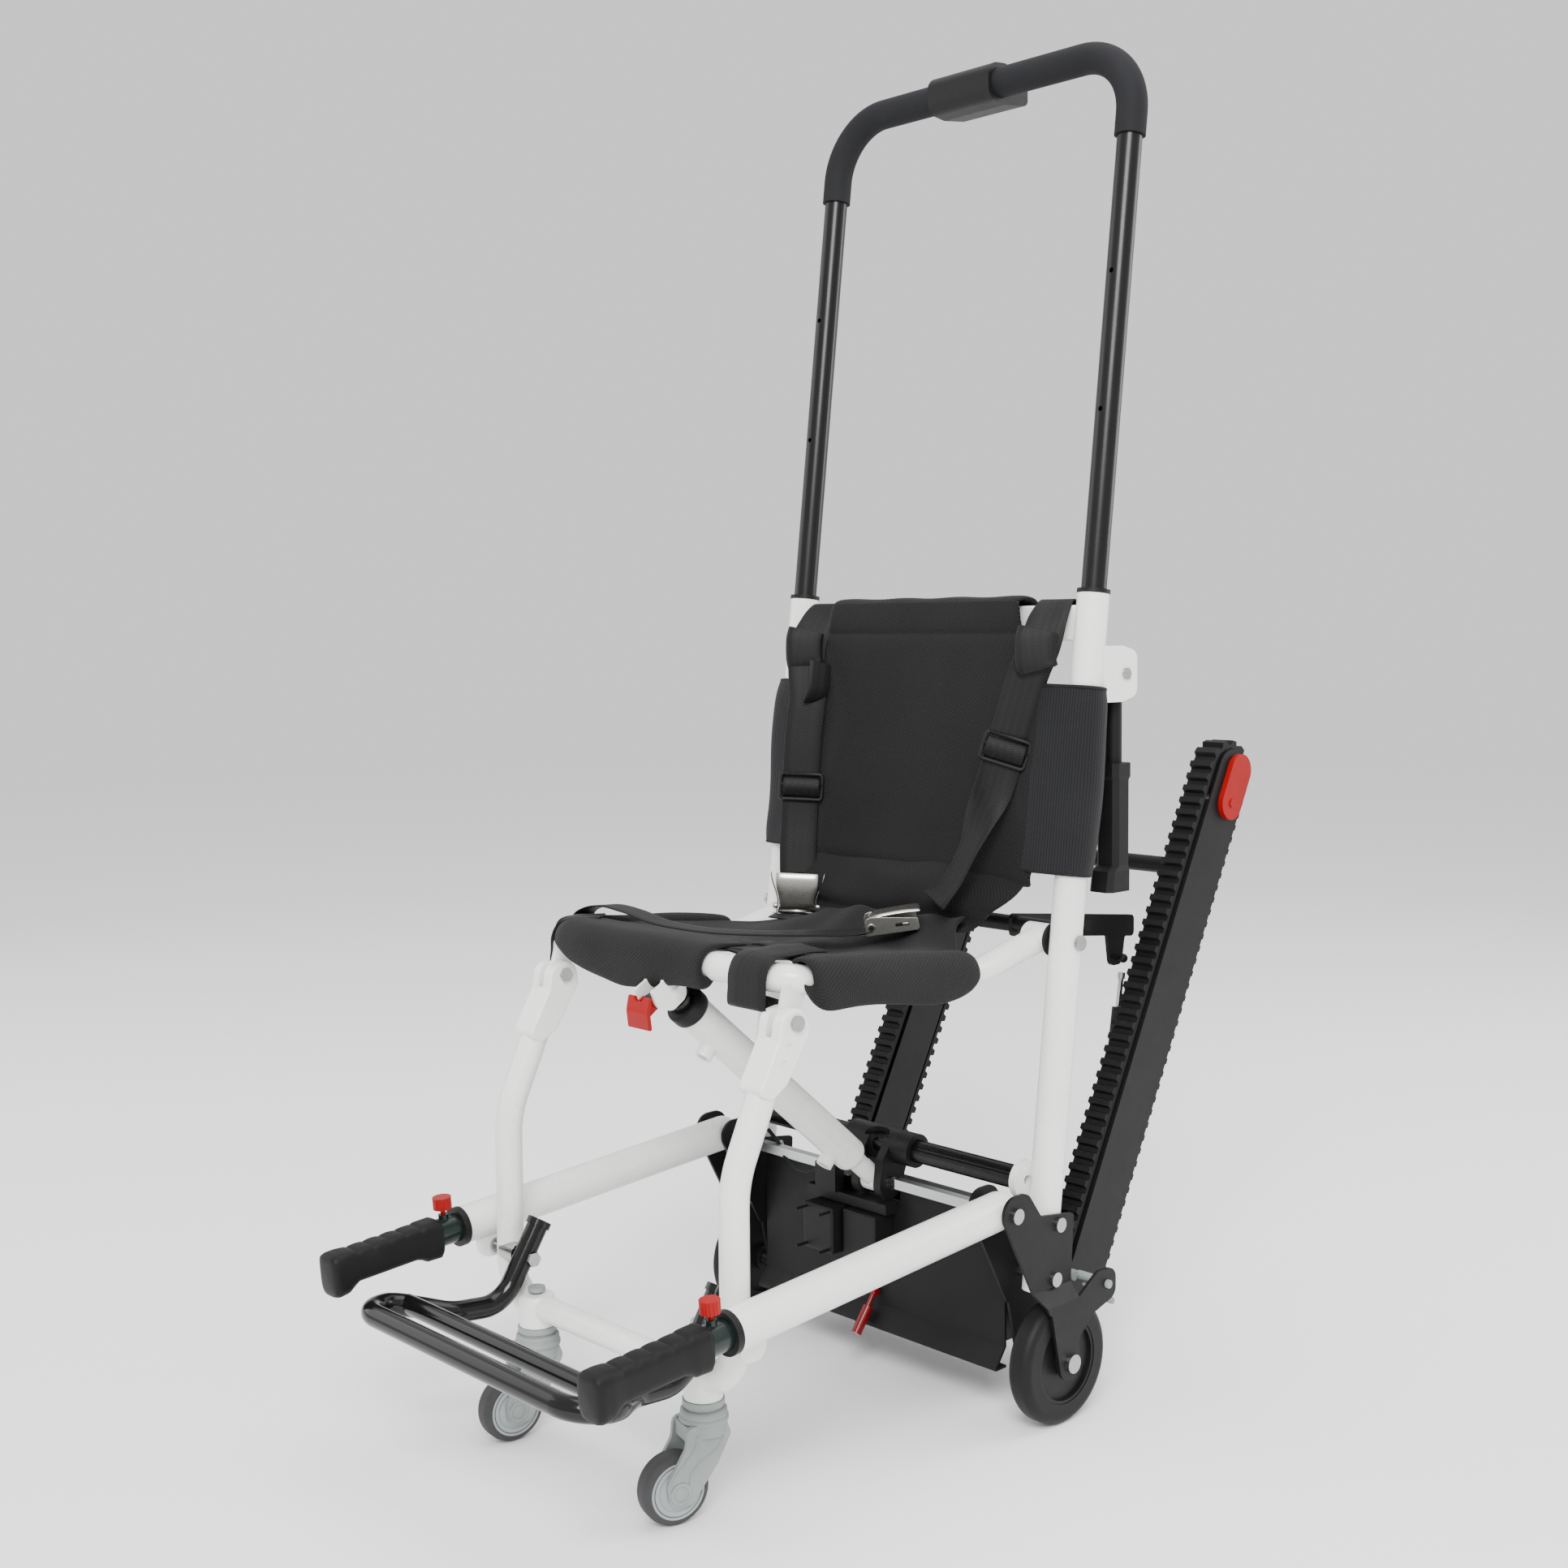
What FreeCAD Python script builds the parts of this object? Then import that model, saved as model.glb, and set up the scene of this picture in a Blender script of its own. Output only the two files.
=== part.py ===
"""Stair chair with powered tracks: a folding evacuation chair, one STEP file per sub-part.

Millimetres. X is the width (the occupant's left is +X), Y runs from the front to the back, Z is up.
Shapes are drawn with Y = 0 at the rear axle, and save() moves them so that the finished model's
bounding box is centred on Y = 0. The chair is symmetric about X = 0 apart from a few small pieces.
"""
import FreeCAD, Part
import math
import os
from FreeCAD import Vector

# ---- driving dimensions ------------------------------------------------------------------------
ORIGIN_SHIFT_Y = 104.65          # moves the rear axle frame to the centred frame
LEAN = math.radians(7.1)        # the back frame leans back by this angle
SIDES = (("left", 1), ("right", -1))

UPRIGHT_X, UPRIGHT_R, UPRIGHT_WALL = 243.0, 19.0, 2.0
UPRIGHT_BOTTOM, UPRIGHT_TOP, UPRIGHT_TOP_Y = 157.0, 966.0, 85.0

HANDLE_R, HANDLE_TOP_Z, HANDLE_BEND = 15.0, 1603.0, 78.0
CONTROL_X = -15.0               # middle of the control box along the bar
HANDLE_INSERT = 110.0           # length of handle tube held inside each upright
FOAM_R, FOAM_END_Z = 18.5, 1498.0

WHEEL_R, WHEEL_X0, WHEEL_X1, RIM_R = 75.0, 243.0, 274.0, 50.0
PLATE_T = 4.0
OUTER_PLATE_X, OUTER_LOWER_X, INNER_PLATE_X = 262.0, 276.0, 211.5

SEAT_PIVOT = (34.68, 562.0)     # (y, z) of each hinge axis, measured from the rear axle line
LEG_HINGE = (-374.5, 523.8)
RAIL_PIVOT = (-82.0, 265.0)
LEG_FOOT_PIVOT = (-455.0, 206.0)
STRUT_TOP = (-365.5, 529.0)
STRUT_FOOT = (-35.5, 243.0)
TRACK_AXIS = (95.7, 100.0)
REAR_GRIP_PIVOT = (124.0, 872.0)
PEDAL_AXIS = (67.0, 153.0)

SEAT_TUBE_X, SEAT_TUBE_R = 205.0, 16.0
SEAT_DIP, SEAT_FRONT = (-75.0, 536.0), (-368.0, 566.0)
LEG_X, LEG_R, KNEE = 198.5, 16.0, (-448.0, 367.0)
CASTER_X, CASTER_Y, BOSS_BOTTOM, BOSS_TOP, BOSS_R = 147.5, -449.5, 128.0, 164.0, 21.0
LEG_CROSS_R, LEG_CROSS_Z = 14.5, 150.0
RAIL_X, RAIL_R, RAIL_FRONT = 238.0, 22.0, (-491.0, 233.4)
FRONT_TUBE_R = 16.5
CASTER_R, CASTER_LEAD, CASTER_WIDTH = 38.0, 37.0, 28.0
CASTER_TURN = {"left": -15.0, "right": -8.0}

CROSS_TUBE = (-17.0, 285.0)
CROSS_TUBE_R = 14.0
UPPER_CROSS_Z, SEAT_CROSS = 932.0, (65.6, 568.0)

TRACK_LEAN = math.radians(27.43)
TRACK_LENGTH = 709.8            # between the drive axle and the top roller's axis
TRACK_X0, TRACK_X1 = 174.0, 208.0
BELT_IN, BELT_T, RIB_H, RIB_COUNT = 35.0, 5.0, 6.0, 96
GAS_FOOT = (236.0, 335.0)
GAS_TOP = (263.0, 501.5)
GAS_X = 155.0

FIT = 0.05                      # radial clearance of a turning or sliding fit
BOLT_R = 5.0

os.makedirs("parts", exist_ok=True)
EXTENT = FreeCAD.BoundBox()


# ---- helpers -----------------------------------------------------------------------------------
def at(x, yz):
    """Point at width x and at a (y, z) pair."""
    return Vector(x, yz[0], yz[1])


def rod(start, end, radius):
    """Solid round bar between two points."""
    run = end - start
    return Part.makeCylinder(radius, run.Length, start, run)


def rod_x(x0, x1, yz, radius):
    """Solid round bar along X."""
    low, high = min(x0, x1), max(x0, x1)
    return rod(at(low, yz), at(high, yz), radius)


def ring_x(x0, x1, yz, outer, inner):
    """Round sleeve along X."""
    return rod_x(x0, x1, yz, outer).cut(rod_x(x0 - 1, x1 + 1, yz, inner))


def block(x0, x1, y0, y1, z0, z1):
    """Box from its six faces."""
    return Part.makeBox(x1 - x0, y1 - y0, z1 - z0, Vector(x0, y0, z0))


def join(*shapes):
    """Fuse shapes into one and remove the seams between them."""
    whole = shapes[0]
    if len(shapes) > 1:
        whole = whole.multiFuse(list(shapes[1:]))
    return whole.removeSplitter()


def mirror(shape):
    """The same shape on the other side of the chair."""
    return shape.mirror(Vector(0, 0, 0), Vector(1, 0, 0))


def pair(shape):
    """A shape and its mirror image, as separate solids."""
    return [shape, mirror(shape)]


def solids(shapes):
    """All solids of a list of shapes."""
    found = []
    for shape in shapes:
        found.extend(shape.Solids)
    return found


def corner(before, point, after, radius):
    """Start, middle and end of the arc that rounds one corner of a route."""
    back = (before - point).normalize()
    ahead = (after - point).normalize()
    half = back.getAngle(ahead) / 2
    setback = radius / math.tan(half)
    middle = point + (back + ahead).normalize() * (radius / math.sin(half) - radius)
    return point + back * setback, middle, point + ahead * setback


def rounded(points, radii, closed):
    """Wire of straight runs joined by tangent arcs; a radius of 0 leaves a sharp corner."""
    count = len(points)
    stops = []
    for i in range(count):
        inner = closed or 0 < i < count - 1
        if inner and radii[i] > 0:
            stops.append(corner(points[i - 1], points[i], points[(i + 1) % count], radii[i]))
        else:
            stops.append((points[i], None, points[i]))
    edges = []
    for i in range(count):
        start, middle, end = stops[i]
        if middle is not None:
            edges.append(Part.Arc(start, middle, end).toShape())
        following = stops[(i + 1) % count][0]
        if (closed or i < count - 1) and (following - end).Length > 1e-6:
            edges.append(Part.LineSegment(end, following).toShape())
    return Part.Wire(edges)


def bent_bar(points, radii, radius):
    """Round bar along a rounded route."""
    route = rounded(points, radii, False)
    heading = points[1] - points[0]
    profile = Part.Wire(Part.makeCircle(radius, points[0], heading))
    return Part.Solid(route.makePipeShell([profile], True, False))


def bent_tube(points, radii, radius, wall):
    """Hollow round tube along a rounded route, open at both ends."""
    return bent_bar(points, radii, radius).cut(bent_bar(points, radii, radius - wall))


def plate_x(x0, x1, outline):
    """Plate across X from a closed outline of (y, z, corner radius)."""
    points = [Vector(x0, y, z) for y, z, _ in outline]
    wire = rounded(points, [radius for _, _, radius in outline], True)
    return Part.Face(wire).extrude(Vector(x1 - x0, 0, 0))


def upright_y(z):
    """Y of the leaning back frame's centre line at height z."""
    return UPRIGHT_TOP_Y + (z - UPRIGHT_TOP) * math.tan(LEAN)


def on_upright(x, z, behind=0.0):
    """Point on the back frame's centre line, or square behind it."""
    return Vector(x, upright_y(z) + behind * math.cos(LEAN), z - behind * math.sin(LEAN))


def screw_x(x0, x1, yz, radius, head_r, head_t, nut=True):
    """Bolt from a head at x0 to a hexagon nut at x1."""
    way = 1 if x1 > x0 else -1
    head = rod_x(x0, x0 - way * head_t, yz, head_r)
    bolt = join(head, rod_x(x0, x1 + way * (head_t if nut else 0), yz, radius))
    if nut:
        corners = []
        for step in range(7):
            angle = math.radians(60 * step)
            corners.append(at(x1, (yz[0] + head_r * math.cos(angle), yz[1] + head_r * math.sin(angle))))
        bolt = join(bolt, Part.Face(Part.makePolygon(corners)).extrude(Vector(way * head_t, 0, 0)))
    return bolt


def save(name, *shapes):
    """Write one node, moved to the centred frame."""
    found = solids(shapes)
    whole = found[0] if len(found) == 1 else Part.makeCompound(found)
    whole = whole.copy()
    whole.translate(Vector(0, ORIGIN_SHIFT_Y, 0))
    valid = all(solid.isValid() and solid.Volume > 0 for solid in found)
    EXTENT.add(whole.BoundBox)
    whole.exportStep("parts/" + name + ".step")
    print("%-22s solids %2d  volume %10.0f  %s" % (name, len(found), whole.Volume, "" if valid else "NOT VALID"))


# ---- back frame: uprights, cross members and side plates ---------------------------------------
def upright():
    """One upright tube with its lower ear and the bracket for the rear lifting grip."""
    body = rod(on_upright(UPRIGHT_X, UPRIGHT_BOTTOM), on_upright(UPRIGHT_X, UPRIGHT_TOP), UPRIGHT_R)
    ear = rod_x(219, 228, CROSS_TUBE, 23)
    body = join(body, ear)
    y, z = REAR_GRIP_PIVOT
    cheek = [(upright_y(z) + 10, z + 33, 0), (y - 6, z + 33, 0), (y + 22, z + 26, 12), (y + 22, z - 26, 12),
             (y - 6, z - 33, 0), (upright_y(z) + 10, z - 33, 0)]
    for x0 in (UPRIGHT_X - 18, UPRIGHT_X + 15):
        body = join(body, plate_x(x0, x0 + 3, cheek))
    bore = rod(on_upright(UPRIGHT_X, UPRIGHT_BOTTOM - 5), on_upright(UPRIGHT_X, UPRIGHT_TOP + 5),
               UPRIGHT_R - UPRIGHT_WALL)
    body = body.cut(bore)
    for height in (238, 175):
        body = body.cut(rod_x(190, 290, (upright_y(height), height), 4.0))
    body = body.cut(rod_x(190, 290, SEAT_PIVOT, BOLT_R))
    body = body.cut(rod_x(210, 290, REAR_GRIP_PIVOT, 4.0))
    return body.cut(rod_x(210, 230, CROSS_TUBE, 6.0))


def handle_collar():
    """Plastic ring that guides the push handle in the top of an upright."""
    bottom, top = on_upright(UPRIGHT_X, UPRIGHT_TOP - 28), on_upright(UPRIGHT_X, UPRIGHT_TOP)
    lip = on_upright(UPRIGHT_X, UPRIGHT_TOP + 5)
    ring = join(rod(bottom, top, UPRIGHT_R - UPRIGHT_WALL), rod(top, lip, UPRIGHT_R + 0.6))
    return ring.cut(rod(on_upright(UPRIGHT_X, UPRIGHT_TOP - 40), on_upright(UPRIGHT_X, UPRIGHT_TOP + 20),
                        HANDLE_R + FIT))


def upper_cross_tube():
    """Rectangular tube between the tops of the uprights, which carries the back sling."""
    y = upright_y(UPPER_CROSS_Z)
    tube = block(-UPRIGHT_X, UPRIGHT_X, y - 10, y + 10, UPPER_CROSS_Z - 21, UPPER_CROSS_Z + 21)
    tube = tube.cut(block(-300, 300, y - 8, y + 8, UPPER_CROSS_Z - 19, UPPER_CROSS_Z + 19))
    tube = tube.makeFillet(3, [e for e in tube.Edges if e.Length > 480 and abs(e.CenterOfMass.y - y) > 9])
    for side in (-1, 1):
        tube = tube.cut(rod(on_upright(side * UPRIGHT_X, 880), on_upright(side * UPRIGHT_X, 990), UPRIGHT_R))
    return tube


def lower_cross_tube():
    """Grooved round extrusion between the two lower ears."""
    tube = rod_x(-219, 219, CROSS_TUBE, CROSS_TUBE_R)
    for step in range(6):
        angle = math.radians(30 + 60 * step)
        y = CROSS_TUBE[0] + (CROSS_TUBE_R + 0.5) * math.cos(angle)
        z = CROSS_TUBE[1] + (CROSS_TUBE_R + 0.5) * math.sin(angle)
        tube = tube.cut(rod_x(-220, 220, (y, z), 2.4))
    return tube.cut(rod_x(-220, 220, CROSS_TUBE, 6.0))


def strut_mount():
    """Moulded tee that clamps the lower cross tube and holds the strut's foot pin."""
    sleeve = ring_x(-54, 54, CROSS_TUBE, 21, CROSS_TUBE_R + 0.01)
    y, z = STRUT_FOOT
    lug = [(y - 19, z - 4, 17), (y - 13, z - 20, 14), (y + 15, z - 20, 15), (y + 38, z + 40, 6), (y + 8, z + 60, 4),
           (y - 14, z + 30, 6)]
    for x0 in (-25, 13):
        sleeve = join(sleeve, plate_x(x0, x0 + 12, lug))
    sleeve = sleeve.cut(rod_x(-60, 60, CROSS_TUBE, CROSS_TUBE_R + 0.01))
    for step in range(12):
        swept = rod(on_strut(53), on_strut(130), 21.4).fuse(rod(on_strut(0), on_strut(70), 12.95))
        swept.rotate(at(0, STRUT_FOOT), Vector(-1, 0, 0), 4 * step)
        sleeve = sleeve.cut(swept)
    return sleeve.cut(rod_x(-60, 60, STRUT_FOOT, BOLT_R))


def seat_cross_tube():
    """Round tube behind the uprights with the arm that carries the gas spring's top stud."""
    tube = rod_x(-232, 232, SEAT_CROSS, 10).cut(rod_x(-240, 240, SEAT_CROSS, 8))
    y, z = SEAT_CROSS
    slope = math.tan(LEAN)
    top_y, top_z = GAS_TOP
    arm = [(y - 10, z + 14, 6), (y + 235, z + 14 - 235 * slope, 6), (y + 235, z - 14 - 235 * slope, 6),
           (top_y + 18, z - 14 - (top_y + 18 - y) * slope, 3), (top_y + 12, top_z - 10, 9),
           (top_y - 12, top_z - 10, 9), (top_y - 18, z - 14 - (top_y - 18 - y) * slope, 3), (y - 10, z - 14, 6)]
    arm = plate_x(139, 144, arm).cut(rod_x(130, 150, SEAT_CROSS, 10))
    stud = rod_x(144, GAS_X + 3, GAS_TOP, 3.5)
    ball = Part.makeSphere(6, at(GAS_X, GAS_TOP))
    bolt = rod_x(144, 149, (y + 132, z - 132 * slope), 8)
    saddles = []
    for side in (-1, 1):
        post = rod(on_upright(side * UPRIGHT_X, SEAT_CROSS[1] + 3, UPRIGHT_R - 1), at(side * 228, SEAT_CROSS), 6)
        tube_hole = rod(on_upright(side * UPRIGHT_X, 500), on_upright(side * UPRIGHT_X, 640), UPRIGHT_R)
        saddles.append(post.cut(tube_hole).cut(rod_x(-300, 300, SEAT_CROSS, 8)))
    return join(tube, arm, stud, ball, bolt, *saddles)


UPPER_PLATE = [(-103, 287, 20), (-62, 288, 18), (-38, 255, 4), (22, 246, 5), (14, 140, 1), (-38, 140, 1),
               (-103, 262, 16)]
LOWER_PLATE = [(-37, 150, 1), (-18, 60, 14), (0, 54, 16), (17, 60, 14), (14, 100, 10), (42, 124, 8),
               (84, 136, 14), (84, 170, 14), (50, 172, 10), (14, 150, 1)]


def plate_bolt_holes():
    """Cutter for every hole that runs through a pair of side plates."""
    cutter = rod_x(200, 290, RAIL_PIVOT, BOLT_R)
    for height in (238, 175):
        cutter = cutter.fuse(rod_x(200, 290, (upright_y(height), height), 4.0))
    cutter = cutter.fuse(rod_x(200, 290, (0, WHEEL_R), 6.0))
    return cutter.fuse(rod_x(200, 290, PEDAL_AXIS, 5.0 + FIT))


def outer_side_plate():
    """Outer bracket plate, stepped outwards to pass over the wheel."""
    step = [(OUTER_PLATE_X, 300), (OUTER_PLATE_X + 4, 300), (OUTER_PLATE_X + 4, 166), (OUTER_LOWER_X + 4, 150),
            (OUTER_LOWER_X + 4, 130), (OUTER_LOWER_X, 130), (OUTER_LOWER_X, 148), (OUTER_PLATE_X, 164)]
    points = [Vector(x, -200, z) for x, z in step + step[:1]]
    strip = Part.Face(Part.makePolygon(points)).extrude(Vector(0, 400, 0))
    upper = plate_x(OUTER_PLATE_X - 2, OUTER_LOWER_X + 6, UPPER_PLATE).common(strip)
    lower = plate_x(OUTER_LOWER_X, OUTER_LOWER_X + PLATE_T, LOWER_PLATE)
    return join(upper, lower).cut(plate_bolt_holes())


def inner_side_plate():
    """Flat inner bracket plate."""
    upper = plate_x(INNER_PLATE_X, INNER_PLATE_X + PLATE_T, UPPER_PLATE)
    lower = plate_x(INNER_PLATE_X, INNER_PLATE_X + PLATE_T, LOWER_PLATE)
    return join(upper, lower).cut(plate_bolt_holes())


def side_fasteners():
    """Bolts, spacers and axle of one side, as separate solids."""
    inner_face, outer_face = INNER_PLATE_X, OUTER_PLATE_X + PLATE_T
    pieces = []
    for height in (238, 175):
        spot = (upright_y(height), height)
        pieces.append(screw_x(outer_face, inner_face, spot, 4.0, 8.5, 4))
        spacer = ring_x(INNER_PLATE_X + PLATE_T, UPRIGHT_X, spot, 8, 4.0)
        tube = rod(on_upright(UPRIGHT_X, 140), on_upright(UPRIGHT_X, 300), UPRIGHT_R)
        pieces.append(spacer.cut(tube))
    pieces.append(screw_x(outer_face, inner_face, RAIL_PIVOT, BOLT_R, 9, 4))
    wheel_axis = (0, WHEEL_R)
    pieces.append(screw_x(OUTER_LOWER_X + PLATE_T, inner_face, wheel_axis, 6.0, 11, 5))
    pieces.append(ring_x(INNER_PLATE_X + PLATE_T, WHEEL_X0 - 0.5, wheel_axis, 10, 6.0))
    pieces.append(ring_x(WHEEL_X1 + 0.3, OUTER_LOWER_X, wheel_axis, 12, 6.0))
    pieces.append(screw_x(UPRIGHT_X + 19.5, SEAT_TUBE_X - 16.7, SEAT_PIVOT, BOLT_R, 9, 4))
    pieces.append(screw_x(UPRIGHT_X + 18, UPRIGHT_X - 18, REAR_GRIP_PIVOT, 4.0, 7, 3))
    return pieces


# ---- drive box, motor and battery ---------------------------------------------------------------
BOX_OUTLINE = [(-29, 63), (140, 63), (140, 165), (40, 226), (-29, 226)]


def drive_box():
    """Folded sheet housing across the chair with its wide front panel and bottom lip."""
    grown = [(-29, 63, 6), (142, 63, 10), (142, 168, 14), (42, 228, 14), (-29, 228, 2)]
    inner = [(-26.5, 65.5, 4), (139.5, 65.5, 8), (139.5, 166, 12), (41, 225.5, 12), (-26.5, 225.5, 1)]
    shell = plate_x(-162, 162, grown).cut(plate_x(-159.5, 159.5, inner))
    panel = block(-206, 206, -32, -29, 82, 248)
    lip = plate_x(-206, 206, [(-29, 82, 0), (-32, 82, 0), (-48, 62, 0), (-48, 57, 0), (-29, 57, 0), (-29, 60, 0),
                              (-45, 60, 0)])
    body = join(shell, panel, lip).cut(block(-38, 38, -60, -8, 220.5, 260))
    return body.cut(rod_x(-170, 170, TRACK_AXIS, 10 + FIT))


def motor():
    """Drive motor with its gear case, inside the box."""
    case = rod_x(-60, 70, (20, 120), 36)
    gears = block(70, 104, -10, 84.5, 82, 158)
    return join(case, rod_x(-80, -60, (20, 120), 24), gears)


def controller():
    """Two switch blocks and the board case in front of the panel, with long screws."""
    first = block(-88, -36, -78, -32, 146, 205)
    second = block(-30, 26, -66, -32, 142, 205)
    board = block(-104, 34, -54, -32, 207, 220)
    plug = block(-84, -48, -60, -44, 220, 254)
    screws = []
    for x, z in ((-82, 200), (-42, 200), (-82, 152), (-42, 152)):
        screws.append(Part.makeCylinder(1.8, 18, Vector(x, -78, z), Vector(0, -1, 0)))
    return [first.makeFillet(3, first.Edges), second.makeFillet(3, second.Edges), board, plug] + screws


def motor_cable():
    """Thin lead from the plug block to the left side plate, held at both ends."""
    route = [Vector(-85, -52, 240), Vector(-112, -53, 231), Vector(-150, -46, 236), Vector(-183, -32, 254),
             Vector(-211.5, -22, 262)]
    radii = [0, 70, 70, 50, 0]
    return bent_bar(route, radii, 2.6)


def release_lever():
    """Short pin with a sleeve under the front panel that frees the battery tray."""
    pin = rod(Vector(-5, -35.6, 96), Vector(-5, -60, 62), 3)
    sleeve = rod(Vector(-5, -46, 80.3), Vector(-5, -68, 51.5), 6.5)
    hub = rod_x(-12, 2, (-37, 98), 4.5)
    return join(pin, sleeve, hub)


# ---- push handle --------------------------------------------------------------------------------
def handle_route(z_end):
    """Points of the U-shaped push handle down to height z_end on both sides."""
    return [on_upright(-UPRIGHT_X, z_end), on_upright(-UPRIGHT_X, HANDLE_TOP_Z), on_upright(UPRIGHT_X, HANDLE_TOP_Z),
            on_upright(UPRIGHT_X, z_end)]


def push_handle():
    """Long U of tube that slides in both uprights, with its height holes."""
    tube = bent_tube(handle_route(UPRIGHT_TOP - HANDLE_INSERT), [0, HANDLE_BEND, HANDLE_BEND, 0], HANDLE_R, 2)
    for side in (-1, 1):
        for height in (1340, 1180):
            spot = on_upright(side * UPRIGHT_X, height)
            tube = tube.cut(Part.makeCylinder(3, 20, spot + Vector(0, -20, 0), Vector(0, 1, 0)))
    return tube


def handle_foam():
    """Soft sleeve over the bends and the bar of the handle."""
    radii = [0, HANDLE_BEND, HANDLE_BEND, 0]
    return bent_bar(handle_route(FOAM_END_Z), radii, FOAM_R).cut(bent_bar(handle_route(FOAM_END_Z - 5), radii, HANDLE_R))


def control_box():
    """Switch housing clamped round the middle of the handle bar, with a recess for its rocker."""
    y, z = upright_y(HANDLE_TOP_Z), HANDLE_TOP_Z
    outline = [(y - 24, z - 22, 16), (y - 24, z + 22, 18), (y + 8, z + 25, 14), (y + 52, z + 16, 8), (y + 52, z - 20, 8),
               (y + 8, z - 26, 14)]
    body = plate_x(CONTROL_X - 51, CONTROL_X + 51, outline).cut(rod_x(-80, 60, (y, z), FOAM_R))
    return body.cut(block(CONTROL_X - 17, CONTROL_X + 17, y + 22, y + 42, z + 8, z + 40))


def rocker_switch():
    """Up and down rocker that tilts in the top of the control box."""
    y, z = upright_y(HANDLE_TOP_Z) + 32, HANDLE_TOP_Z + 14
    cap = block(CONTROL_X - 16, CONTROL_X + 16, y - 9, y + 9, z, z + 9)
    return join(cap.makeChamfer(2, cap.Edges), rod_x(CONTROL_X - 16.5, CONTROL_X + 16.5, (y, z + 2), 2.5))


# ---- rear wheels --------------------------------------------------------------------------------
def rear_tyre():
    """Solid rubber tyre with rounded shoulders."""
    tyre = rod_x(WHEEL_X0, WHEEL_X1, (0, WHEEL_R), WHEEL_R)
    tyre = tyre.makeFillet(11, [edge for edge in tyre.Edges if edge.Length > 6 * WHEEL_R and edge.Length < 7 * WHEEL_R])
    return tyre.cut(rod_x(WHEEL_X0 - 1, WHEEL_X1 + 1, (0, WHEEL_R), RIM_R))


def rear_hub():
    """Moulded wheel centre with a dished face on each side."""
    hub = rod_x(WHEEL_X0 + 1, WHEEL_X1 - 1, (0, WHEEL_R), RIM_R)
    for x0, x1 in ((WHEEL_X0, WHEEL_X0 + 8), (WHEEL_X1 - 6, WHEEL_X1)):
        hub = hub.cut(ring_x(x0, x1, (0, WHEEL_R), RIM_R - 4, 17))
    return hub.cut(rod_x(WHEEL_X0 - 1, WHEEL_X1 + 1, (0, WHEEL_R), 6.0 + FIT))


# ---- seat ----------------------------------------------------------------------------------------
def seat_route():
    """Points of the U-shaped seat tube."""
    half = [at(-SEAT_TUBE_X, SEAT_PIVOT), at(-SEAT_TUBE_X, SEAT_DIP), at(-SEAT_TUBE_X, SEAT_FRONT)]
    return half + [Vector(-point.x, point.y, point.z) for point in reversed(half)]


SEAT_BENDS = [0, 90, 42, 42, 90, 0]


def seat_tube():
    """Seat tube with its pivot bosses, leg tabs and the strut's clevis."""
    pieces = [bent_bar(seat_route(), SEAT_BENDS, SEAT_TUBE_R)]
    for side in (-1, 1):
        pieces.append(rod_x(side * (SEAT_TUBE_X - 16.6), side * (SEAT_TUBE_X + 16.6), SEAT_PIVOT, 18))
    y, z = LEG_HINGE
    top = SEAT_FRONT[1] - 3
    tab = [(y - 13, z - 13, 12), (y + 13, z - 13, 12), (y + 30, top, 4), (y + 1, top, 4)]
    for side in (-1, 1):
        x = side * LEG_X
        pieces.append(plate_x(x - 4.2, x + 4.2, tab))
    y, z = STRUT_TOP
    cheek = [(y + 8, top, 2), (y + 13, z - 8, 11), (y - 8, z - 21, 12), (y - 30, z - 15, 13), (y - 37, z + 4, 2),
             (y - 22, z + 12, 4), (y - 16, top, 2)]
    for side in (-1, 1):
        pieces.append(plate_x(side * 14 - 2, side * 14 + 2, cheek))
        pieces.append(rod_x(side * 14, side * 20, STRUT_TOP, 6.5))
    inner = seat_route()
    inner[0] = inner[0] + (inner[1] - inner[0]).normalize() * 22
    inner[-1] = inner[-1] + (inner[-2] - inner[-1]).normalize() * 22
    body = join(*pieces).cut(bent_bar(inner, SEAT_BENDS, SEAT_TUBE_R - 2))
    for side in (-1, 1):
        body = body.cut(rod_x(side * 180, side * 240, SEAT_PIVOT, BOLT_R + FIT))
        body = body.cut(rod_x(side * 190, side * 207, LEG_HINGE, BOLT_R + FIT))
    return body


def seat_sling():
    """Seat fabric as a plain closed body wrapped over the side tubes and the front bar."""
    outline = [(-396, 548, 14), (-396, 588, 16), (-300, 583, 40), (-75, 562, 40), (-22, 566, 8), (-22, 548, 8),
               (-75, 540, 30), (-110, 528, 8), (-340, 545, 10)]
    slab = plate_x(-230, 230, outline)
    tube = bent_bar(seat_route(), SEAT_BENDS, SEAT_TUBE_R + 0.3)
    slab = slab.cut(tube).cut(block(88, 240, -400, -338, 520, 620)).cut(block(-240, -192, -400, -338, 520, 620))
    slab = slab.cut(seat_tube())
    return max(slab.Solids, key=lambda solid: solid.Volume)


# ---- front legs, rails and casters ---------------------------------------------------------------
def leg_route(side):
    """Points of one leg, from the hinge bracket to the caster boss."""
    down = Vector(0, KNEE[0] - LEG_HINGE[0], KNEE[1] - LEG_HINGE[1]).normalize()
    top = at(side * LEG_X, LEG_HINGE) + down * 22
    return [top, at(side * LEG_X, KNEE), Vector(side * LEG_X, CASTER_Y, LEG_CROSS_Z),
            Vector(side * CASTER_X, CASTER_Y, LEG_CROSS_Z)]


LEG_BENDS = [0, 120, 48, 0]


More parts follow.
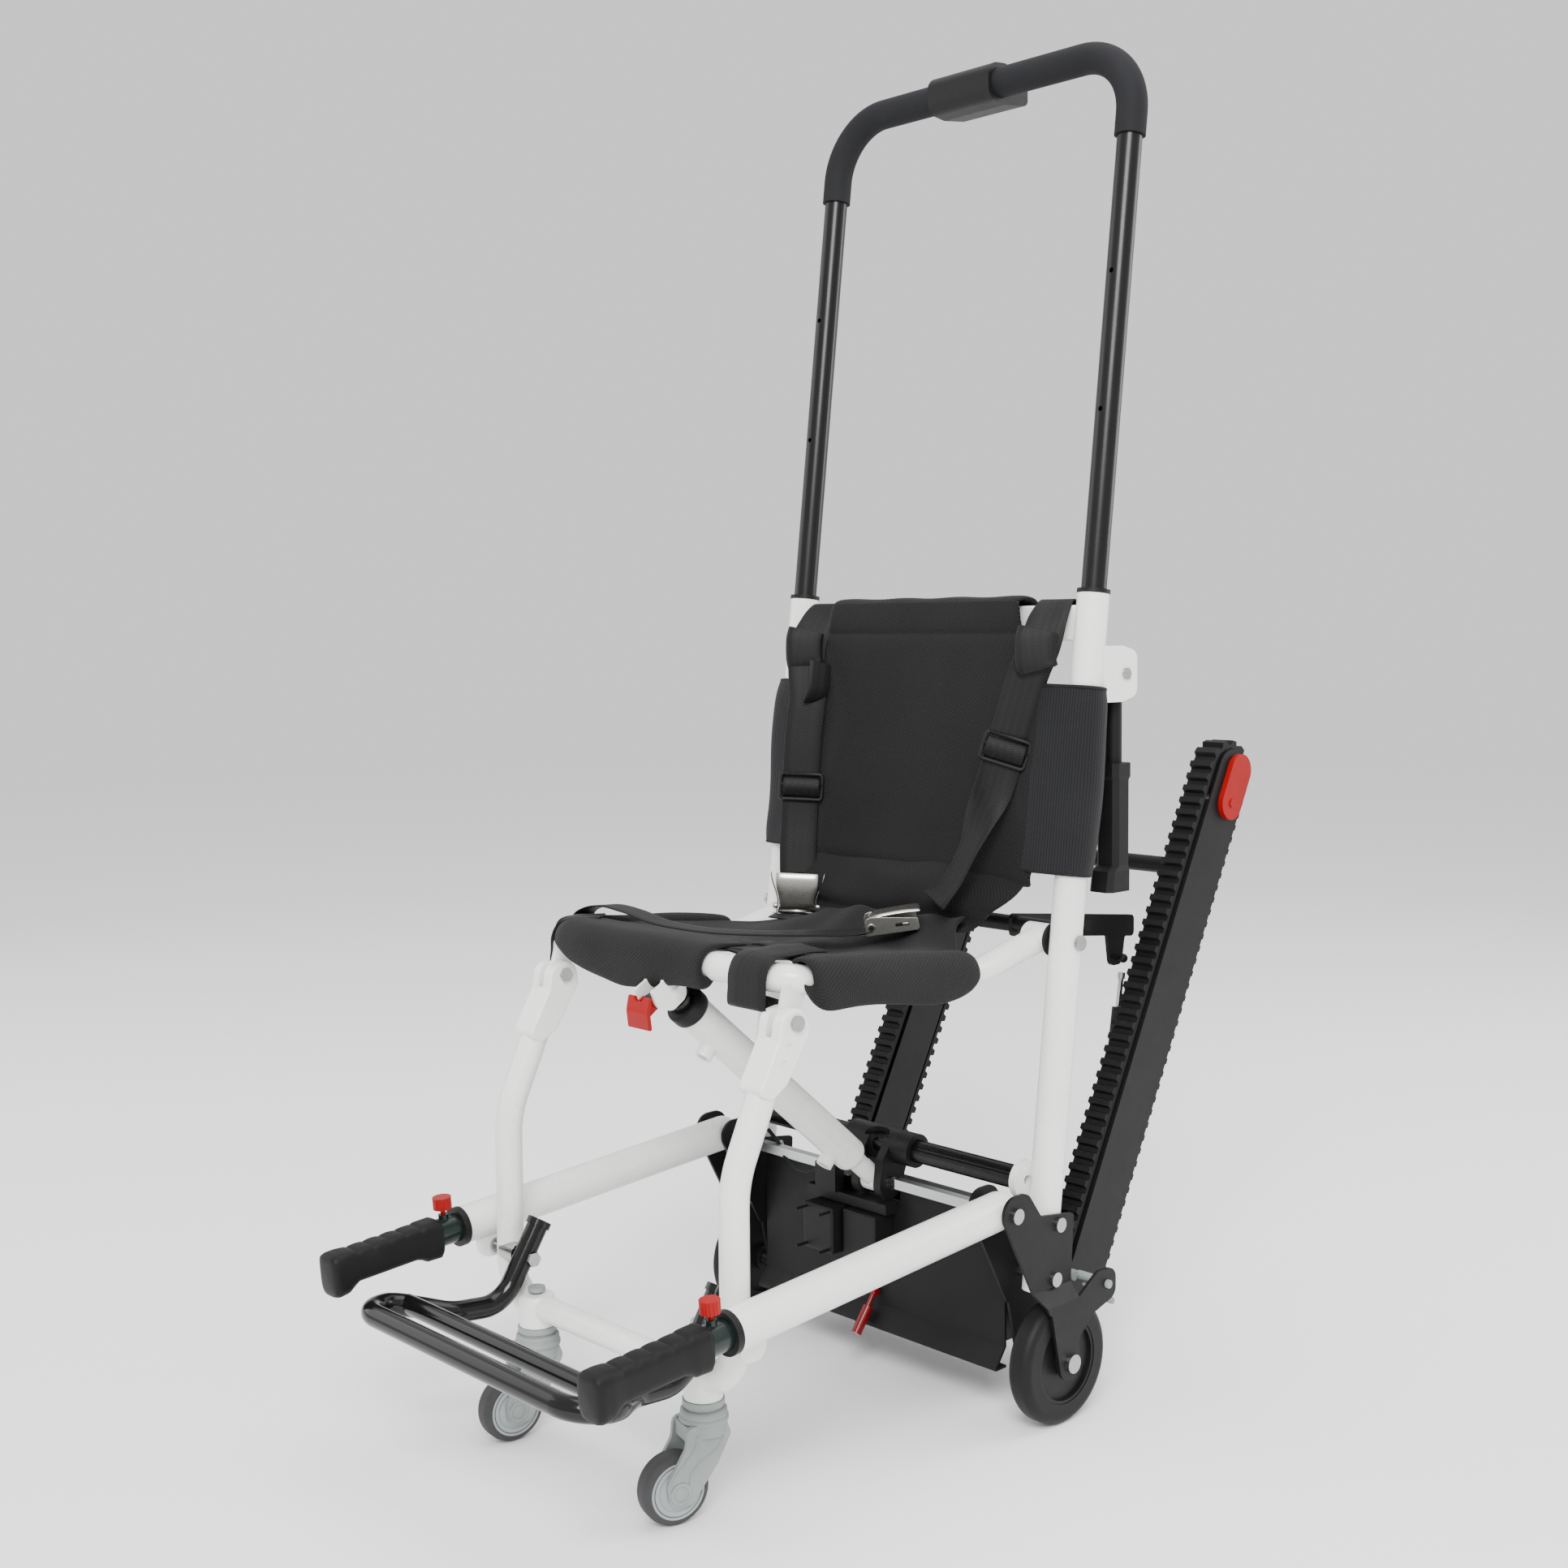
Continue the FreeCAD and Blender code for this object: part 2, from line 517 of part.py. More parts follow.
def leg_frame():
    """Both legs, their cross tube and the caster bosses, welded into one frame."""
    pieces = []
    for side in (-1, 1):
        pieces.append(bent_tube(leg_route(side), LEG_BENDS, LEG_R, 2))
        boss = rod(Vector(side * CASTER_X, CASTER_Y, BOSS_BOTTOM), Vector(side * CASTER_X, CASTER_Y, BOSS_TOP), BOSS_R)
        pieces.append(boss.makeFillet(5, [edge for edge in boss.Edges if edge.BoundBox.ZMin > BOSS_TOP - 1]))
    pieces.append(ring_x(-CASTER_X, CASTER_X, (CASTER_Y, LEG_CROSS_Z), LEG_CROSS_R, LEG_CROSS_R - 2))
    frame = join(*pieces)
    for side in (-1, 1):
        frame = frame.cut(rod(Vector(side * CASTER_X, CASTER_Y, 120), Vector(side * CASTER_X, CASTER_Y, 200), 6 + FIT))
        frame = frame.cut(rod_x(side * 180, side * 220, LEG_FOOT_PIVOT, BOLT_R))
    return frame


def hinge_bracket():
    """Cast bracket on top of a leg, with the slot that takes the seat's tab."""
    y, z = LEG_HINGE
    run = Vector(0, KNEE[0] - y, KNEE[1] - z).normalize()
    low = (y + run.y * 76, z + run.z * 76)
    outline = [(y - 19, z + 12, 16), (y + 17, z + 17, 16), (y + 20, z - 14, 4), (low[0] + 20, low[1] + 6, 8),
               (low[0] - 2, low[1] - 8, 4), (low[0] - 21, low[1] + 2, 8), (y - 24, z - 16, 4)]
    body = plate_x(LEG_X - 18, LEG_X + 18, outline)
    body = body.makeFillet(3, [edge for edge in body.Edges if edge.BoundBox.XLength < 0.1])
    leg = rod(at(LEG_X, LEG_HINGE) + run * 22, at(LEG_X, KNEE), LEG_R)
    gap = block(LEG_X - 4.5, LEG_X + 4.5, y - 60, y + 60, z - 17, z + 60)
    window_low, window_high = (y + run.y * 26, z + run.z * 26), (y + run.y * 44, z + run.z * 44)
    window = rod_x(LEG_X + 16.2, LEG_X + 20, window_low, 4.5).fuse(rod_x(LEG_X + 16.2, LEG_X + 20, window_high, 4.5))
    return body.cut(leg).cut(gap).cut(window).cut(rod_x(170, 230, LEG_HINGE, BOLT_R))


def leg_fasteners():
    """Hinge pin, lower pivot bolt and caster nut of one side."""
    hinge = screw_x(LEG_X + 18, LEG_X - 18, LEG_HINGE, BOLT_R, 8.5, 4)
    pivot = screw_x(LEG_X + LEG_R + 1, 146, LEG_FOOT_PIVOT, BOLT_R, 9, 4)
    spacer = ring_x(172.7, LEG_X, LEG_FOOT_PIVOT, 12, BOLT_R).cut(
        bent_bar(leg_route(1), LEG_BENDS, LEG_R))
    return [hinge, pivot] + solids([spacer])


def rail():
    """Side rail tube with its rounded rear end and the lug under its front end."""
    rear = at(RAIL_X, RAIL_PIVOT)
    front = at(RAIL_X, RAIL_FRONT)
    body = join(rod(rear, front, RAIL_R), Part.makeSphere(RAIL_R, rear))
    bore = rod(rear + (front - rear).normalize() * 12, front + (front - rear), RAIL_R - 2)
    body = body.cut(bore)
    y, z = LEG_FOOT_PIVOT
    lug = [(y - 17, z - 15, 14), (y + 15, z - 15, 14), (y + 19, z + 17, 0), (y - 19, z + 15, 0)]
    lug_plate = plate_x(226, 234, lug)
    body = join(body, lug_plate.cut(rod(rear, front, RAIL_R - 1)))
    body = body.cut(rod_x(200, 280, RAIL_PIVOT, BOLT_R + FIT))
    return body


def rail_collar():
    """Plastic ring in the front end of a rail."""
    front = at(RAIL_X, RAIL_FRONT)
    ahead = (front - at(RAIL_X, RAIL_PIVOT)).normalize()
    ring = join(rod(front - ahead * 24, front, RAIL_R - 2), rod(front, front + ahead * 8, RAIL_R + 1.1))
    return ring.cut(rod(front - ahead * 40, front + ahead * 20, FRONT_TUBE_R + 0.3))


def caster_shape(shape, side_name, side):
    """Turn a caster piece about its stem and put it under its boss."""
    placed = shape.copy()
    placed.rotate(Vector(0, 0, 0), Vector(0, 0, 1), CASTER_TURN[side_name])
    placed.translate(Vector(side * CASTER_X, CASTER_Y, 0))
    return placed


def caster_fork():
    """Moulded swivel head, two swept cheeks, the stem and the wheel's axle."""
    cheek = [(17, 106, 6), (22, 92, 8), (6, 62, 20), (-24, 24, 10), (-50, 24, 12), (-52, 50, 12), (-30, 84, 20),
             (-28, 106, 8)]
    pieces = [plate_x(x0, x0 + 5, cheek) for x0 in (-20.5, 15.5)]
    pieces.append(block(-20.5, 20.5, -26, 16, 88, 104))
    pieces.append(rod(Vector(0, 0, 92), Vector(0, 0, 114), 25))
    pieces.append(rod(Vector(0, 0, 112), Vector(0, 0, 121), 20.5))
    pieces.append(rod(Vector(0, 0, 121), Vector(0, 0, BOSS_BOTTOM - 0.5), 22.5))
    fork = join(*pieces)
    clearance = rod_x(-15.5, 15.5, (-CASTER_LEAD, CASTER_R), CASTER_R + 4)
    fork = fork.cut(clearance)
    axle = rod_x(-22, 22, (-CASTER_LEAD, CASTER_R), 4)
    return join(fork, axle, rod(Vector(0, 0, 120), Vector(0, 0, BOSS_TOP + 4), 6), rod(
        Vector(0, 0, BOSS_TOP + 3.4), Vector(0, 0, BOSS_TOP + 8), 10))


def caster_wheel():
    """Small wheel with a recessed hub on both faces."""
    half = CASTER_WIDTH / 2
    axis = (-CASTER_LEAD, CASTER_R)
    wheel = rod_x(-half, half, axis, CASTER_R)
    wheel = wheel.makeFillet(9, [edge for edge in wheel.Edges if 6 * CASTER_R < edge.Length < 7 * CASTER_R])
    for x0, x1 in ((-half - 1, -half + 3), (half - 3, half + 1)):
        wheel = wheel.cut(ring_x(x0, x1, axis, 25, 10))
    return wheel.cut(rod_x(-half - 1, half + 1, axis, 4 + FIT))


# ---- front lifting handles -----------------------------------------------------------------------
RAIL_AHEAD = (at(RAIL_X, RAIL_FRONT) - at(RAIL_X, RAIL_PIVOT)).normalize()


def along_rail(distance, above=0.0):
    """Point on the rail's line, at a distance ahead of the collar's front face."""
    start = at(RAIL_X, RAIL_FRONT) + RAIL_AHEAD * (8 + distance)
    return start + Vector(0, RAIL_AHEAD.z, -RAIL_AHEAD.y) * above


def front_tube():
    """Faceted inner tube that slides in the rail, with the plunger's seat on top."""
    tube = rod(along_rail(-240), along_rail(150), FRONT_TUBE_R)
    tube = tube.cut(rod(along_rail(-250), along_rail(160), FRONT_TUBE_R - 2.5))
    seat = rod(along_rail(15, 12), along_rail(15, 21), 6)
    seat = seat.cut(rod(along_rail(-10), along_rail(60), FRONT_TUBE_R - 2.5))
    return join(tube, seat).cut(rod(along_rail(15, 10), along_rail(15, 30), 3 + FIT))


def grip_profile(distance, half_x, top, bottom):
    """Eight-sided section of a moulded grip, square to the rail."""
    bevel = 7.0
    spots = [(-half_x + bevel, top), (half_x - bevel, top), (half_x, top - bevel), (half_x, bottom + bevel),
             (half_x - bevel, bottom), (-half_x + bevel, bottom), (-half_x, bottom + bevel), (-half_x, top - bevel)]
    points = [along_rail(distance, above) + Vector(across, 0, 0) for across, above in spots]
    return Part.makePolygon(points + points[:1])


def front_grip():
    """Moulded lifting grip with finger ridges on top and a hand stop at each end."""
    stations = [(36, 18.5, 20, -27), (60, 18.5, 20, -24), (64, 17.5, 19.5, -18), (148, 17.5, 19.5, -18),
                (152, 18.5, 20, -26), (178, 18.5, 19, -30)]
    body = Part.makeLoft([grip_profile(*station) for station in stations], True, True)
    for step in range(5):
        distance = 62 + 21 * step
        groove = rod(along_rail(distance, 20.6) + Vector(-30, 0, 0), along_rail(distance, 20.6) + Vector(30, 0, 0), 1.6)
        body = body.cut(groove)
    return body.cut(rod(along_rail(30), along_rail(150), FRONT_TUBE_R))


def lock_knob():
    """Pull knob and plunger pin that lock the front handle's tube."""
    pin = rod(along_rail(15, 14), along_rail(15, 31), 3)
    head = rod(along_rail(15, 28), along_rail(15, 42), 11)
    for step in range(16):
        angle = 2 * math.pi * step / 16
        side = Vector(11.4 * math.cos(angle), 0, 0)
        fore = RAIL_AHEAD * (11.4 * math.sin(angle))
        head = head.cut(rod(along_rail(15, 27) + side + fore, along_rail(15, 43) + side + fore, 1.0))
    return join(pin, head)


# ---- strut under the seat ------------------------------------------------------------------------
STRUT_LINE = (at(0, STRUT_TOP) - at(0, STRUT_FOOT)).normalize()
STRUT_SPAN = (at(0, STRUT_TOP) - at(0, STRUT_FOOT)).Length


def on_strut(distance, above=0.0):
    """Point on the strut's line, from its foot pin; above is square to it."""
    return at(0, STRUT_FOOT) + STRUT_LINE * distance + Vector(0, STRUT_LINE.z, -STRUT_LINE.y) * above


def strut_outer():
    """White outer tube of the strut, its foot tongue, collar ring and two side stubs."""
    tube = rod(on_strut(54), on_strut(400), 21)
    tube = tube.makeFillet(9, [edge for edge in tube.Edges if (edge.CenterOfMass - on_strut(54)).Length < 1])
    tube = tube.cut(rod(on_strut(64), on_strut(410), 18.5))
    guide = rod(on_strut(376), on_strut(408), 18.5).fuse(rod(on_strut(400), on_strut(408), 22.5))
    guide = guide.cut(rod(on_strut(360), on_strut(420), 14.5 + FIT))
    tongue = join(rod_x(-12.7, 12.7, STRUT_FOOT, 15), rod(on_strut(8), on_strut(66), 12.6))
    stubs = []
    for distance in (344, 92):
        stub = rod(on_strut(distance, -17), on_strut(distance, -33), 10)
        stubs.append(stub.cut(rod(on_strut(distance, -24), on_strut(distance, -40), 6.5)))
    body = join(tube, guide, tongue, *stubs).cut(rod_x(-20, 20, STRUT_FOOT, BOLT_R + FIT))
    for step in range(4):
        relief = rod_x(-30, 30, CROSS_TUBE, CROSS_TUBE_R + 0.5)
        relief.rotate(at(0, STRUT_FOOT), Vector(1, 0, 0), 36 + 2 * step)
        body = body.cut(relief)
    return body.cut(rod(on_strut(66), on_strut(390), 14.5 + FIT))


LEVER_AXIS_BELOW = 24.2
LEVER_AT = STRUT_SPAN + 14


def lever_axis():
    """(y, z) of the hinge of the strut's release lever."""
    spot = on_strut(LEVER_AT, -LEVER_AXIS_BELOW)
    return (spot.y, spot.z)


def strut_inner():
    """Black inner tube of the strut, with its flat top tongue and the arm that carries the release lever."""
    tube = rod(on_strut(96), on_strut(STRUT_SPAN - 17), 14.5).cut(rod(on_strut(90), on_strut(STRUT_SPAN - 22), 11.5))
    tongue = rod_x(-9, 9, STRUT_TOP, 11)
    neck = rod(on_strut(STRUT_SPAN - 24), on_strut(STRUT_SPAN - 8), 8.5)
    y, z = STRUT_TOP
    lever_y, lever_z = lever_axis()
    arm = plate_x(-5, 5, [(y, z + 8, 2), (y - 2, z - 10, 2), (lever_y - 5, lever_z - 6, 5), (lever_y - 6, lever_z + 5, 5)])
    body = join(tube, neck, tongue, arm, rod_x(-9.3, 9.3, lever_axis(), 2.5))
    return body.cut(rod_x(-20, 20, STRUT_TOP, 6)).cut(rod(on_strut(90), on_strut(STRUT_SPAN - 28), 11.5))


def strut_lever():
    """Red release lever: a curved paddle in front of the strut's head, with two ears on its pin."""
    y, z = lever_axis()
    paddle = plate_x(-18, 18, [(y - 12.5, z + 7, 1.5), (y - 17, z + 7, 1.5), (y - 20.5, z - 9, 20), (y - 18, z - 29, 2),
                               (y - 13, z - 29, 2), (y - 15.5, z - 9, 20)])
    paddle = paddle.cut(Part.makeCylinder(9, 30, Vector(0, y - 30, z + 10), Vector(0, 1, 0)))
    ear = [(y + 6, z + 5, 5), (y + 5, z - 6, 5), (y - 15, z - 20, 2), (y - 15, z - 1, 2), (y - 4, z + 5, 4)]
    body = join(paddle, plate_x(5.3, 9.3, ear), plate_x(-9.3, -5.3, ear))
    return body.cut(rod_x(-20, 20, lever_axis(), 2.5 + FIT))


# ---- footrest ------------------------------------------------------------------------------------
FOOT_TUBE_R = 12.5
FOOT_HALF = [(159, -437, 241), (159, -490, 158), (163, -556, 164), (203, -606, 178), (203, -650, 184)]
FOOT_BENDS = [0, 44, 40, 34, 38]


def footrest():
    """Bent tube footrest with its second bar, hung on the lower leg pivots."""
    half = [Vector(x, y, z) for x, y, z in FOOT_HALF]
    route = half + [Vector(-point.x, point.y, point.z) for point in reversed(half)]
    loop = bent_tube(route, FOOT_BENDS + FOOT_BENDS[::-1], FOOT_TUBE_R, 2)
    bar = rod_x(-194, 194, (-594, 177), FOOT_TUBE_R - 1.5)
    bar = bar.cut(bent_bar(route, FOOT_BENDS + FOOT_BENDS[::-1], FOOT_TUBE_R - 2))
    caps = []
    for side in (-1, 1):
        top = Vector(side * half[0].x, half[0].y, half[0].z)
        up = Vector(0, half[0].y - half[1].y, half[0].z - half[1].z).normalize()
        caps.append(rod(top - up * 3, top + up * 5, FOOT_TUBE_R + 2))
    sleeves = [rod_x(side * 149, side * 170, LEG_FOOT_PIVOT, 9) for side in (-1, 1)]
    body = join(loop, bar, *caps, *sleeves)
    for side in (-1, 1):
        body = body.cut(rod_x(side * 140, side * 180, LEG_FOOT_PIVOT, BOLT_R + FIT))
    return body


# ---- rear lifting grips --------------------------------------------------------------------------
def rear_grip():
    """Hanging lifting handle behind an upright: tube, grip and hand stop."""
    y, z = REAR_GRIP_PIVOT
    head = rod_x(UPRIGHT_X - 14.6, UPRIGHT_X + 14.6, REAR_GRIP_PIVOT, 11)
    tube = rod(Vector(UPRIGHT_X, y, z), Vector(UPRIGHT_X, y, z - 110), 10)
    sections = []
    for drop, half_x, half_y, shift in ((106, 17, 17, 0), (122, 17, 17, 0), (126, 16, 15, 0), (228, 16, 15, 0),
                                        (234, 17, 20, -4), (259, 17, 22, -6)):
        bevel = 6.0
        low, high = y + shift - half_y, y + shift + half_y
        spots = [(UPRIGHT_X - half_x + bevel, low), (UPRIGHT_X + half_x - bevel, low), (UPRIGHT_X + half_x, low + bevel),
                 (UPRIGHT_X + half_x, high - bevel), (UPRIGHT_X + half_x - bevel, high),
                 (UPRIGHT_X - half_x + bevel, high), (UPRIGHT_X - half_x, high - bevel), (UPRIGHT_X - half_x, low + bevel)]
        points = [Vector(across, along, z - drop) for across, along in spots]
        sections.append(Part.makePolygon(points + points[:1]))
    grip = Part.makeLoft(sections, True, True)
    return join(head, tube, grip).cut(rod_x(200, 280, REAR_GRIP_PIVOT, 4.0 + FIT))


# ---- tracks --------------------------------------------------------------------------------------
ALONG = (math.sin(TRACK_LEAN), math.cos(TRACK_LEAN))
ACROSS = (math.cos(TRACK_LEAN), -math.sin(TRACK_LEAN))


def on_track(along, across):
    """(y, z) of a point given along the track from the drive axle and across it, rearwards positive."""
    return (TRACK_AXIS[0] + ALONG[0] * along + ACROSS[0] * across,
            TRACK_AXIS[1] + ALONG[1] * along + ACROSS[1] * across)


def belt_point(travel, radius):
    """(y, z) at a distance round the belt loop, at a given offset from the track's centre line."""
    arc = math.pi * BELT_IN
    loop = 2 * (TRACK_LENGTH + arc)
    travel = travel % loop
    if travel < TRACK_LENGTH:
        return on_track(travel, -radius)
    travel -= TRACK_LENGTH
    if travel < arc:
        angle = travel / BELT_IN
        return on_track(TRACK_LENGTH + radius * math.sin(angle), -radius * math.cos(angle))
    travel -= arc
    if travel < TRACK_LENGTH:
        return on_track(TRACK_LENGTH - travel, radius)
    angle = (travel - TRACK_LENGTH) / BELT_IN
    return on_track(-radius * math.sin(angle), radius * math.cos(angle))


def stadium(x0, x1, radius, start, end):
    """Slab with round ends along the track."""
    points = [at(x0, on_track(start, -radius)), at(x0, on_track(end, -radius)), at(x0, on_track(end + radius, 0)),
              at(x0, on_track(end, radius)), at(x0, on_track(start, radius)), at(x0, on_track(start - radius, 0))]
    edges = [Part.LineSegment(points[0], points[1]).toShape(), Part.Arc(points[1], points[2], points[3]).toShape(),
             Part.LineSegment(points[3], points[4]).toShape(), Part.Arc(points[4], points[5], points[0]).toShape()]
    return Part.Face(Part.Wire(edges)).extrude(Vector(x1 - x0, 0, 0))


def belt():
    """Ribbed rubber belt of the left track."""
    loop = 2 * (TRACK_LENGTH + math.pi * BELT_IN)
    pitch = loop / RIB_COUNT
    points = []
    for rib in range(RIB_COUNT):
        for share, height in ((0.0, 0), (0.12, 1), (0.52, 1), (0.64, 0)):
            spot = belt_point((rib + share) * pitch, BELT_IN + BELT_T + height * RIB_H)
            points.append(at(TRACK_X0, spot))
    outside = Part.Face(Part.makePolygon(points + points[:1])).extrude(Vector(TRACK_X1 - 2 - TRACK_X0, 0, 0))
    return outside.cut(stadium(TRACK_X0 - 1, TRACK_X1 + 1, BELT_IN, 0, TRACK_LENGTH))


def track_frame():
    """Beams, outer side plates and cross tube of both tracks, welded together."""
    beam = plate_x(TRACK_X0 - 2, TRACK_X1 - 0.5, [on_track(46, -30) + (3,), on_track(TRACK_LENGTH - 46, -30) + (3,),
                                                  on_track(TRACK_LENGTH - 46, 30) + (3,), on_track(46, 30) + (3,)])
    outline = [on_track(-26, -31) + (26,), on_track(TRACK_LENGTH + 34, -31) + (30,),
               on_track(TRACK_LENGTH + 34, 38) + (30,), on_track(-26, 38) + (26,)]
    plate = plate_x(TRACK_X1 - 0.5, TRACK_X1 + 2, outline)
    holes = rod_x(100, 230, TRACK_AXIS, 10 + FIT).fuse(rod_x(TRACK_X1 - 4, 230, on_track(TRACK_LENGTH, 0), 6))
    half = join(beam, plate).cut(holes)
    cross_at = on_track(577, 0)
    cross = rod_x(-TRACK_X0, TRACK_X0, cross_at, 11)
    stud = rod_x(GAS_X, TRACK_X0, GAS_FOOT, 3.5)
    return join(half, mirror(half), cross, stud, rod_x(GAS_X - 5, GAS_X + 5, GAS_FOOT, 5.0))


def track_cover():
    """Red cover and axle of the top roller on the outer face of the left track."""
    x0 = TRACK_X1 + 2
    start, end = on_track(TRACK_LENGTH - 36, 8), on_track(TRACK_LENGTH + 10, 8)
    slab = rod_x(x0, x0 + 7, start, 22).fuse(rod_x(x0, x0 + 7, end, 22))
    outline = [on_track(TRACK_LENGTH - 36, -14) + (0,), on_track(TRACK_LENGTH + 10, -14) + (0,),
               on_track(TRACK_LENGTH + 10, 30) + (0,), on_track(TRACK_LENGTH - 36, 30) + (0,)]
    slab = join(slab, plate_x(x0, x0 + 7, outline))
    screw = rod_x(x0 + 5, x0 + 8.5, start, 6)
    return join(slab, screw)


def top_rollers():
    """Top idler rollers of both tracks with their axle stubs."""
    shapes = []
    for side in (-1, 1):
        roller = rod_x(side * 176, side * 205, on_track(TRACK_LENGTH, 0), BELT_IN - 0.6)
        stub = rod_x(side * 176, side * (TRACK_X1 + 2), on_track(TRACK_LENGTH, 0), 6 - FIT)
        shapes.append(join(roller, stub))
    return shapes


def drive_axle():
    """Drive axle across the chair with a toothed wheel in each track."""
    axle = rod_x(-214, 214, TRACK_AXIS, 10)
    wheels = []
    for side in (-1, 1):
        wheel = rod_x(side * 176, side * 205, TRACK_AXIS, BELT_IN - 0.6)
        for step in range(12):
            angle = math.radians(30 * step)
            spot = (TRACK_AXIS[0] + BELT_IN * math.cos(angle), TRACK_AXIS[1] + BELT_IN * math.sin(angle))
            wheel = wheel.cut(rod_x(side * 170, side * 210, spot, 4))
        wheels.append(wheel)
    return join(axle, *wheels)


# ---- gas spring and brake pedal ------------------------------------------------------------------
GAS_LINE = (at(GAS_X, GAS_TOP) - at(GAS_X, GAS_FOOT)).normalize()
GAS_SPAN = (at(GAS_X, GAS_TOP) - at(GAS_X, GAS_FOOT)).Length


def on_gas(distance):
    """Point on the gas spring's line, from its lower ball."""
    return at(GAS_X, GAS_FOOT) + GAS_LINE * distance


def gas_cylinder():
    """Body of the gas spring with the socket that turns on its lower stud."""
    body = join(rod(on_gas(8), on_gas(106), 8), rod_x(GAS_X - 6, GAS_X + 6, GAS_FOOT, 8.5))
    body = body.cut(rod(on_gas(18), on_gas(108), 6.5)).cut(rod_x(GAS_X - 5.2, GAS_X + 8, GAS_FOOT, 5.0 + FIT))
    cap = rod(on_gas(99), on_gas(106), 8).cut(rod(on_gas(90), on_gas(112), 3.5 + FIT))
    return join(body, cap)


def gas_rod():
    """Chrome rod of the gas spring with its piston and the small end fitting."""
    return join(rod(on_gas(34), on_gas(GAS_SPAN - 18), 3.5), rod(on_gas(28), on_gas(36), 6.45),
                rod(on_gas(GAS_SPAN - 26), on_gas(GAS_SPAN - 18), 5.0))


def brake_pedal():
    """Wheel brake pedal: cross rod, grey foot tab and red release tab."""
    y, z = PEDAL_AXIS
    shaft = rod_x(INNER_PLATE_X - 1, OUTER_LOWER_X + 8, PEDAL_AXIS, 5)
    tab = plate_x(236, 268, [(y, z + 7, 3), (y + 30, z - 8, 3), (y + 28, z - 14, 3), (y, z - 5, 3)])
    toe = plate_x(244, 262, [(y + 2, z - 4, 2), (y + 40, z - 34, 3), (y + 36, z - 40, 3), (y - 2, z - 10, 2)])
    pad = rod_x(232, 240, (y - 10, z + 2), 6)
    return join(shaft, tab, toe, pad)


# ---- back sling and harness buckles --------------------------------------------------------------
def back_sling():
    """Back fabric as a plain closed body, with wings that wrap the uprights."""
    def strip(z0, z1, half_x, front, behind):
        low = [on_upright(-half_x, z0, front), on_upright(-half_x, z0, behind)]
        high = [on_upright(-half_x, z1, behind), on_upright(-half_x, z1, front)]
        face = Part.Face(Part.makePolygon(low + high + low[:1]))
        return face.extrude(Vector(2 * half_x, 0, 0))

    body = join(strip(628, 952, 200, -29, -12), strip(644, 858, 232, -29, -12))
    for side in (-1, 1):
        body = join(body, rod(on_upright(side * UPRIGHT_X, 644), on_upright(side * UPRIGHT_X, 858), 26))
    y = upright_y(UPPER_CROSS_Z)
    body = body.cut(block(-UPRIGHT_X, UPRIGHT_X, y - 10.4, y + 30, UPPER_CROSS_Z - 21.4, UPPER_CROSS_Z + 40))
    y = upright_y(REAR_GRIP_PIVOT[1])
    bracket = block(UPRIGHT_X - 18.6, UPRIGHT_X + 18.6, y, y + 60, REAR_GRIP_PIVOT[1] - 34, REAR_GRIP_PIVOT[1] + 40)
    for side in (-1, 1):
        body = body.cut(rod(on_upright(side * UPRIGHT_X, 600), on_upright(side * UPRIGHT_X, 980), UPRIGHT_R + 0.3))
    return body.cut(bracket).cut(mirror(bracket))


def buckle(length, width, height):
    """Lift-lever buckle: pressed body with a raised lever and a webbing slot."""
    body = block(-width / 2, width / 2, 0, length, 0, height)
    body = body.makeFillet(2.5, [edge for edge in body.Edges if edge.BoundBox.ZLength > height - 1])
    slot = block(-width / 2 + 5, width / 2 - 5, 4, 8, -1, height + 1)
    lever = block(-width / 2 + 3, width / 2 - 3, 12, length + 6, height - 1, height + 3)
    return join(body.cut(slot), lever)


def back_buckle():
    """Buckle that hangs on the harness strap in front of the sling's lower edge."""
    shape = buckle(40, 42, 8)
    shape.rotate(Vector(0, 0, 0), Vector(1, 0, 0), 86)
    shape.translate(Vector(-165, 3, 552))
    return shape


def seat_buckle():
    """Buckle on the end of the other strap, lying on the seat."""
    shape = buckle(52, 32, 9)
    shape.rotate(Vector(0, 0, 0), Vector(1, 0, 0), -4)
    shape.rotate(Vector(0, 0, 0), Vector(0, 0, 1), -43)
    shape.translate(Vector(50, -109.5, 567.2))
    return shape


# ---- write every node ----------------------------------------------------------------------------
def save_both(name, shape):
    """Write a node and its mirror image with left and right in their names."""
    save(name + "_left", shape)
    save(name + "_right", mirror(shape))


save("uprights", *pair(upright()))
save("handle_collars", *pair(handle_collar()))
save("upper_cross_tube", upper_cross_tube())
save("lower_cross_tube", lower_cross_tube())
save("strut_mount", strut_mount())
save("seat_cross_tube", seat_cross_tube())
save("outer_side_plates", *pair(outer_side_plate()))
save("inner_side_plates", *pair(inner_side_plate()))
save("frame_fasteners", *[piece for part in side_fasteners() for piece in pair(part)],
     screw_x(25, -25, STRUT_FOOT, BOLT_R, 8.5, 4), *[
    rod_x(side * 219, side * 150, CROSS_TUBE, 6.0) for side in (-1, 1)])
save("drive_box", drive_box())
save("box_top_rail", block(40, 206, -44, -32, 240, 252), block(-206, -40, -44, -32, 240, 252))
save("battery_pack", block(-150, -84, -20, 80, 70, 160))
save("motor", motor())
save("controller", *controller())
save("motor_cable", motor_cable())
save("release_lever", release_lever())
save("push_handle", push_handle())
save("handle_foam", handle_foam())
save("control_box", control_box())
save("rocker_switch", rocker_switch())
save_both("rear_tyre", rear_tyre())
save_both("rear_hub", rear_hub())
save("seat_tube", seat_tube())
save("seat_sling", seat_sling())
save("leg_frame", leg_frame())
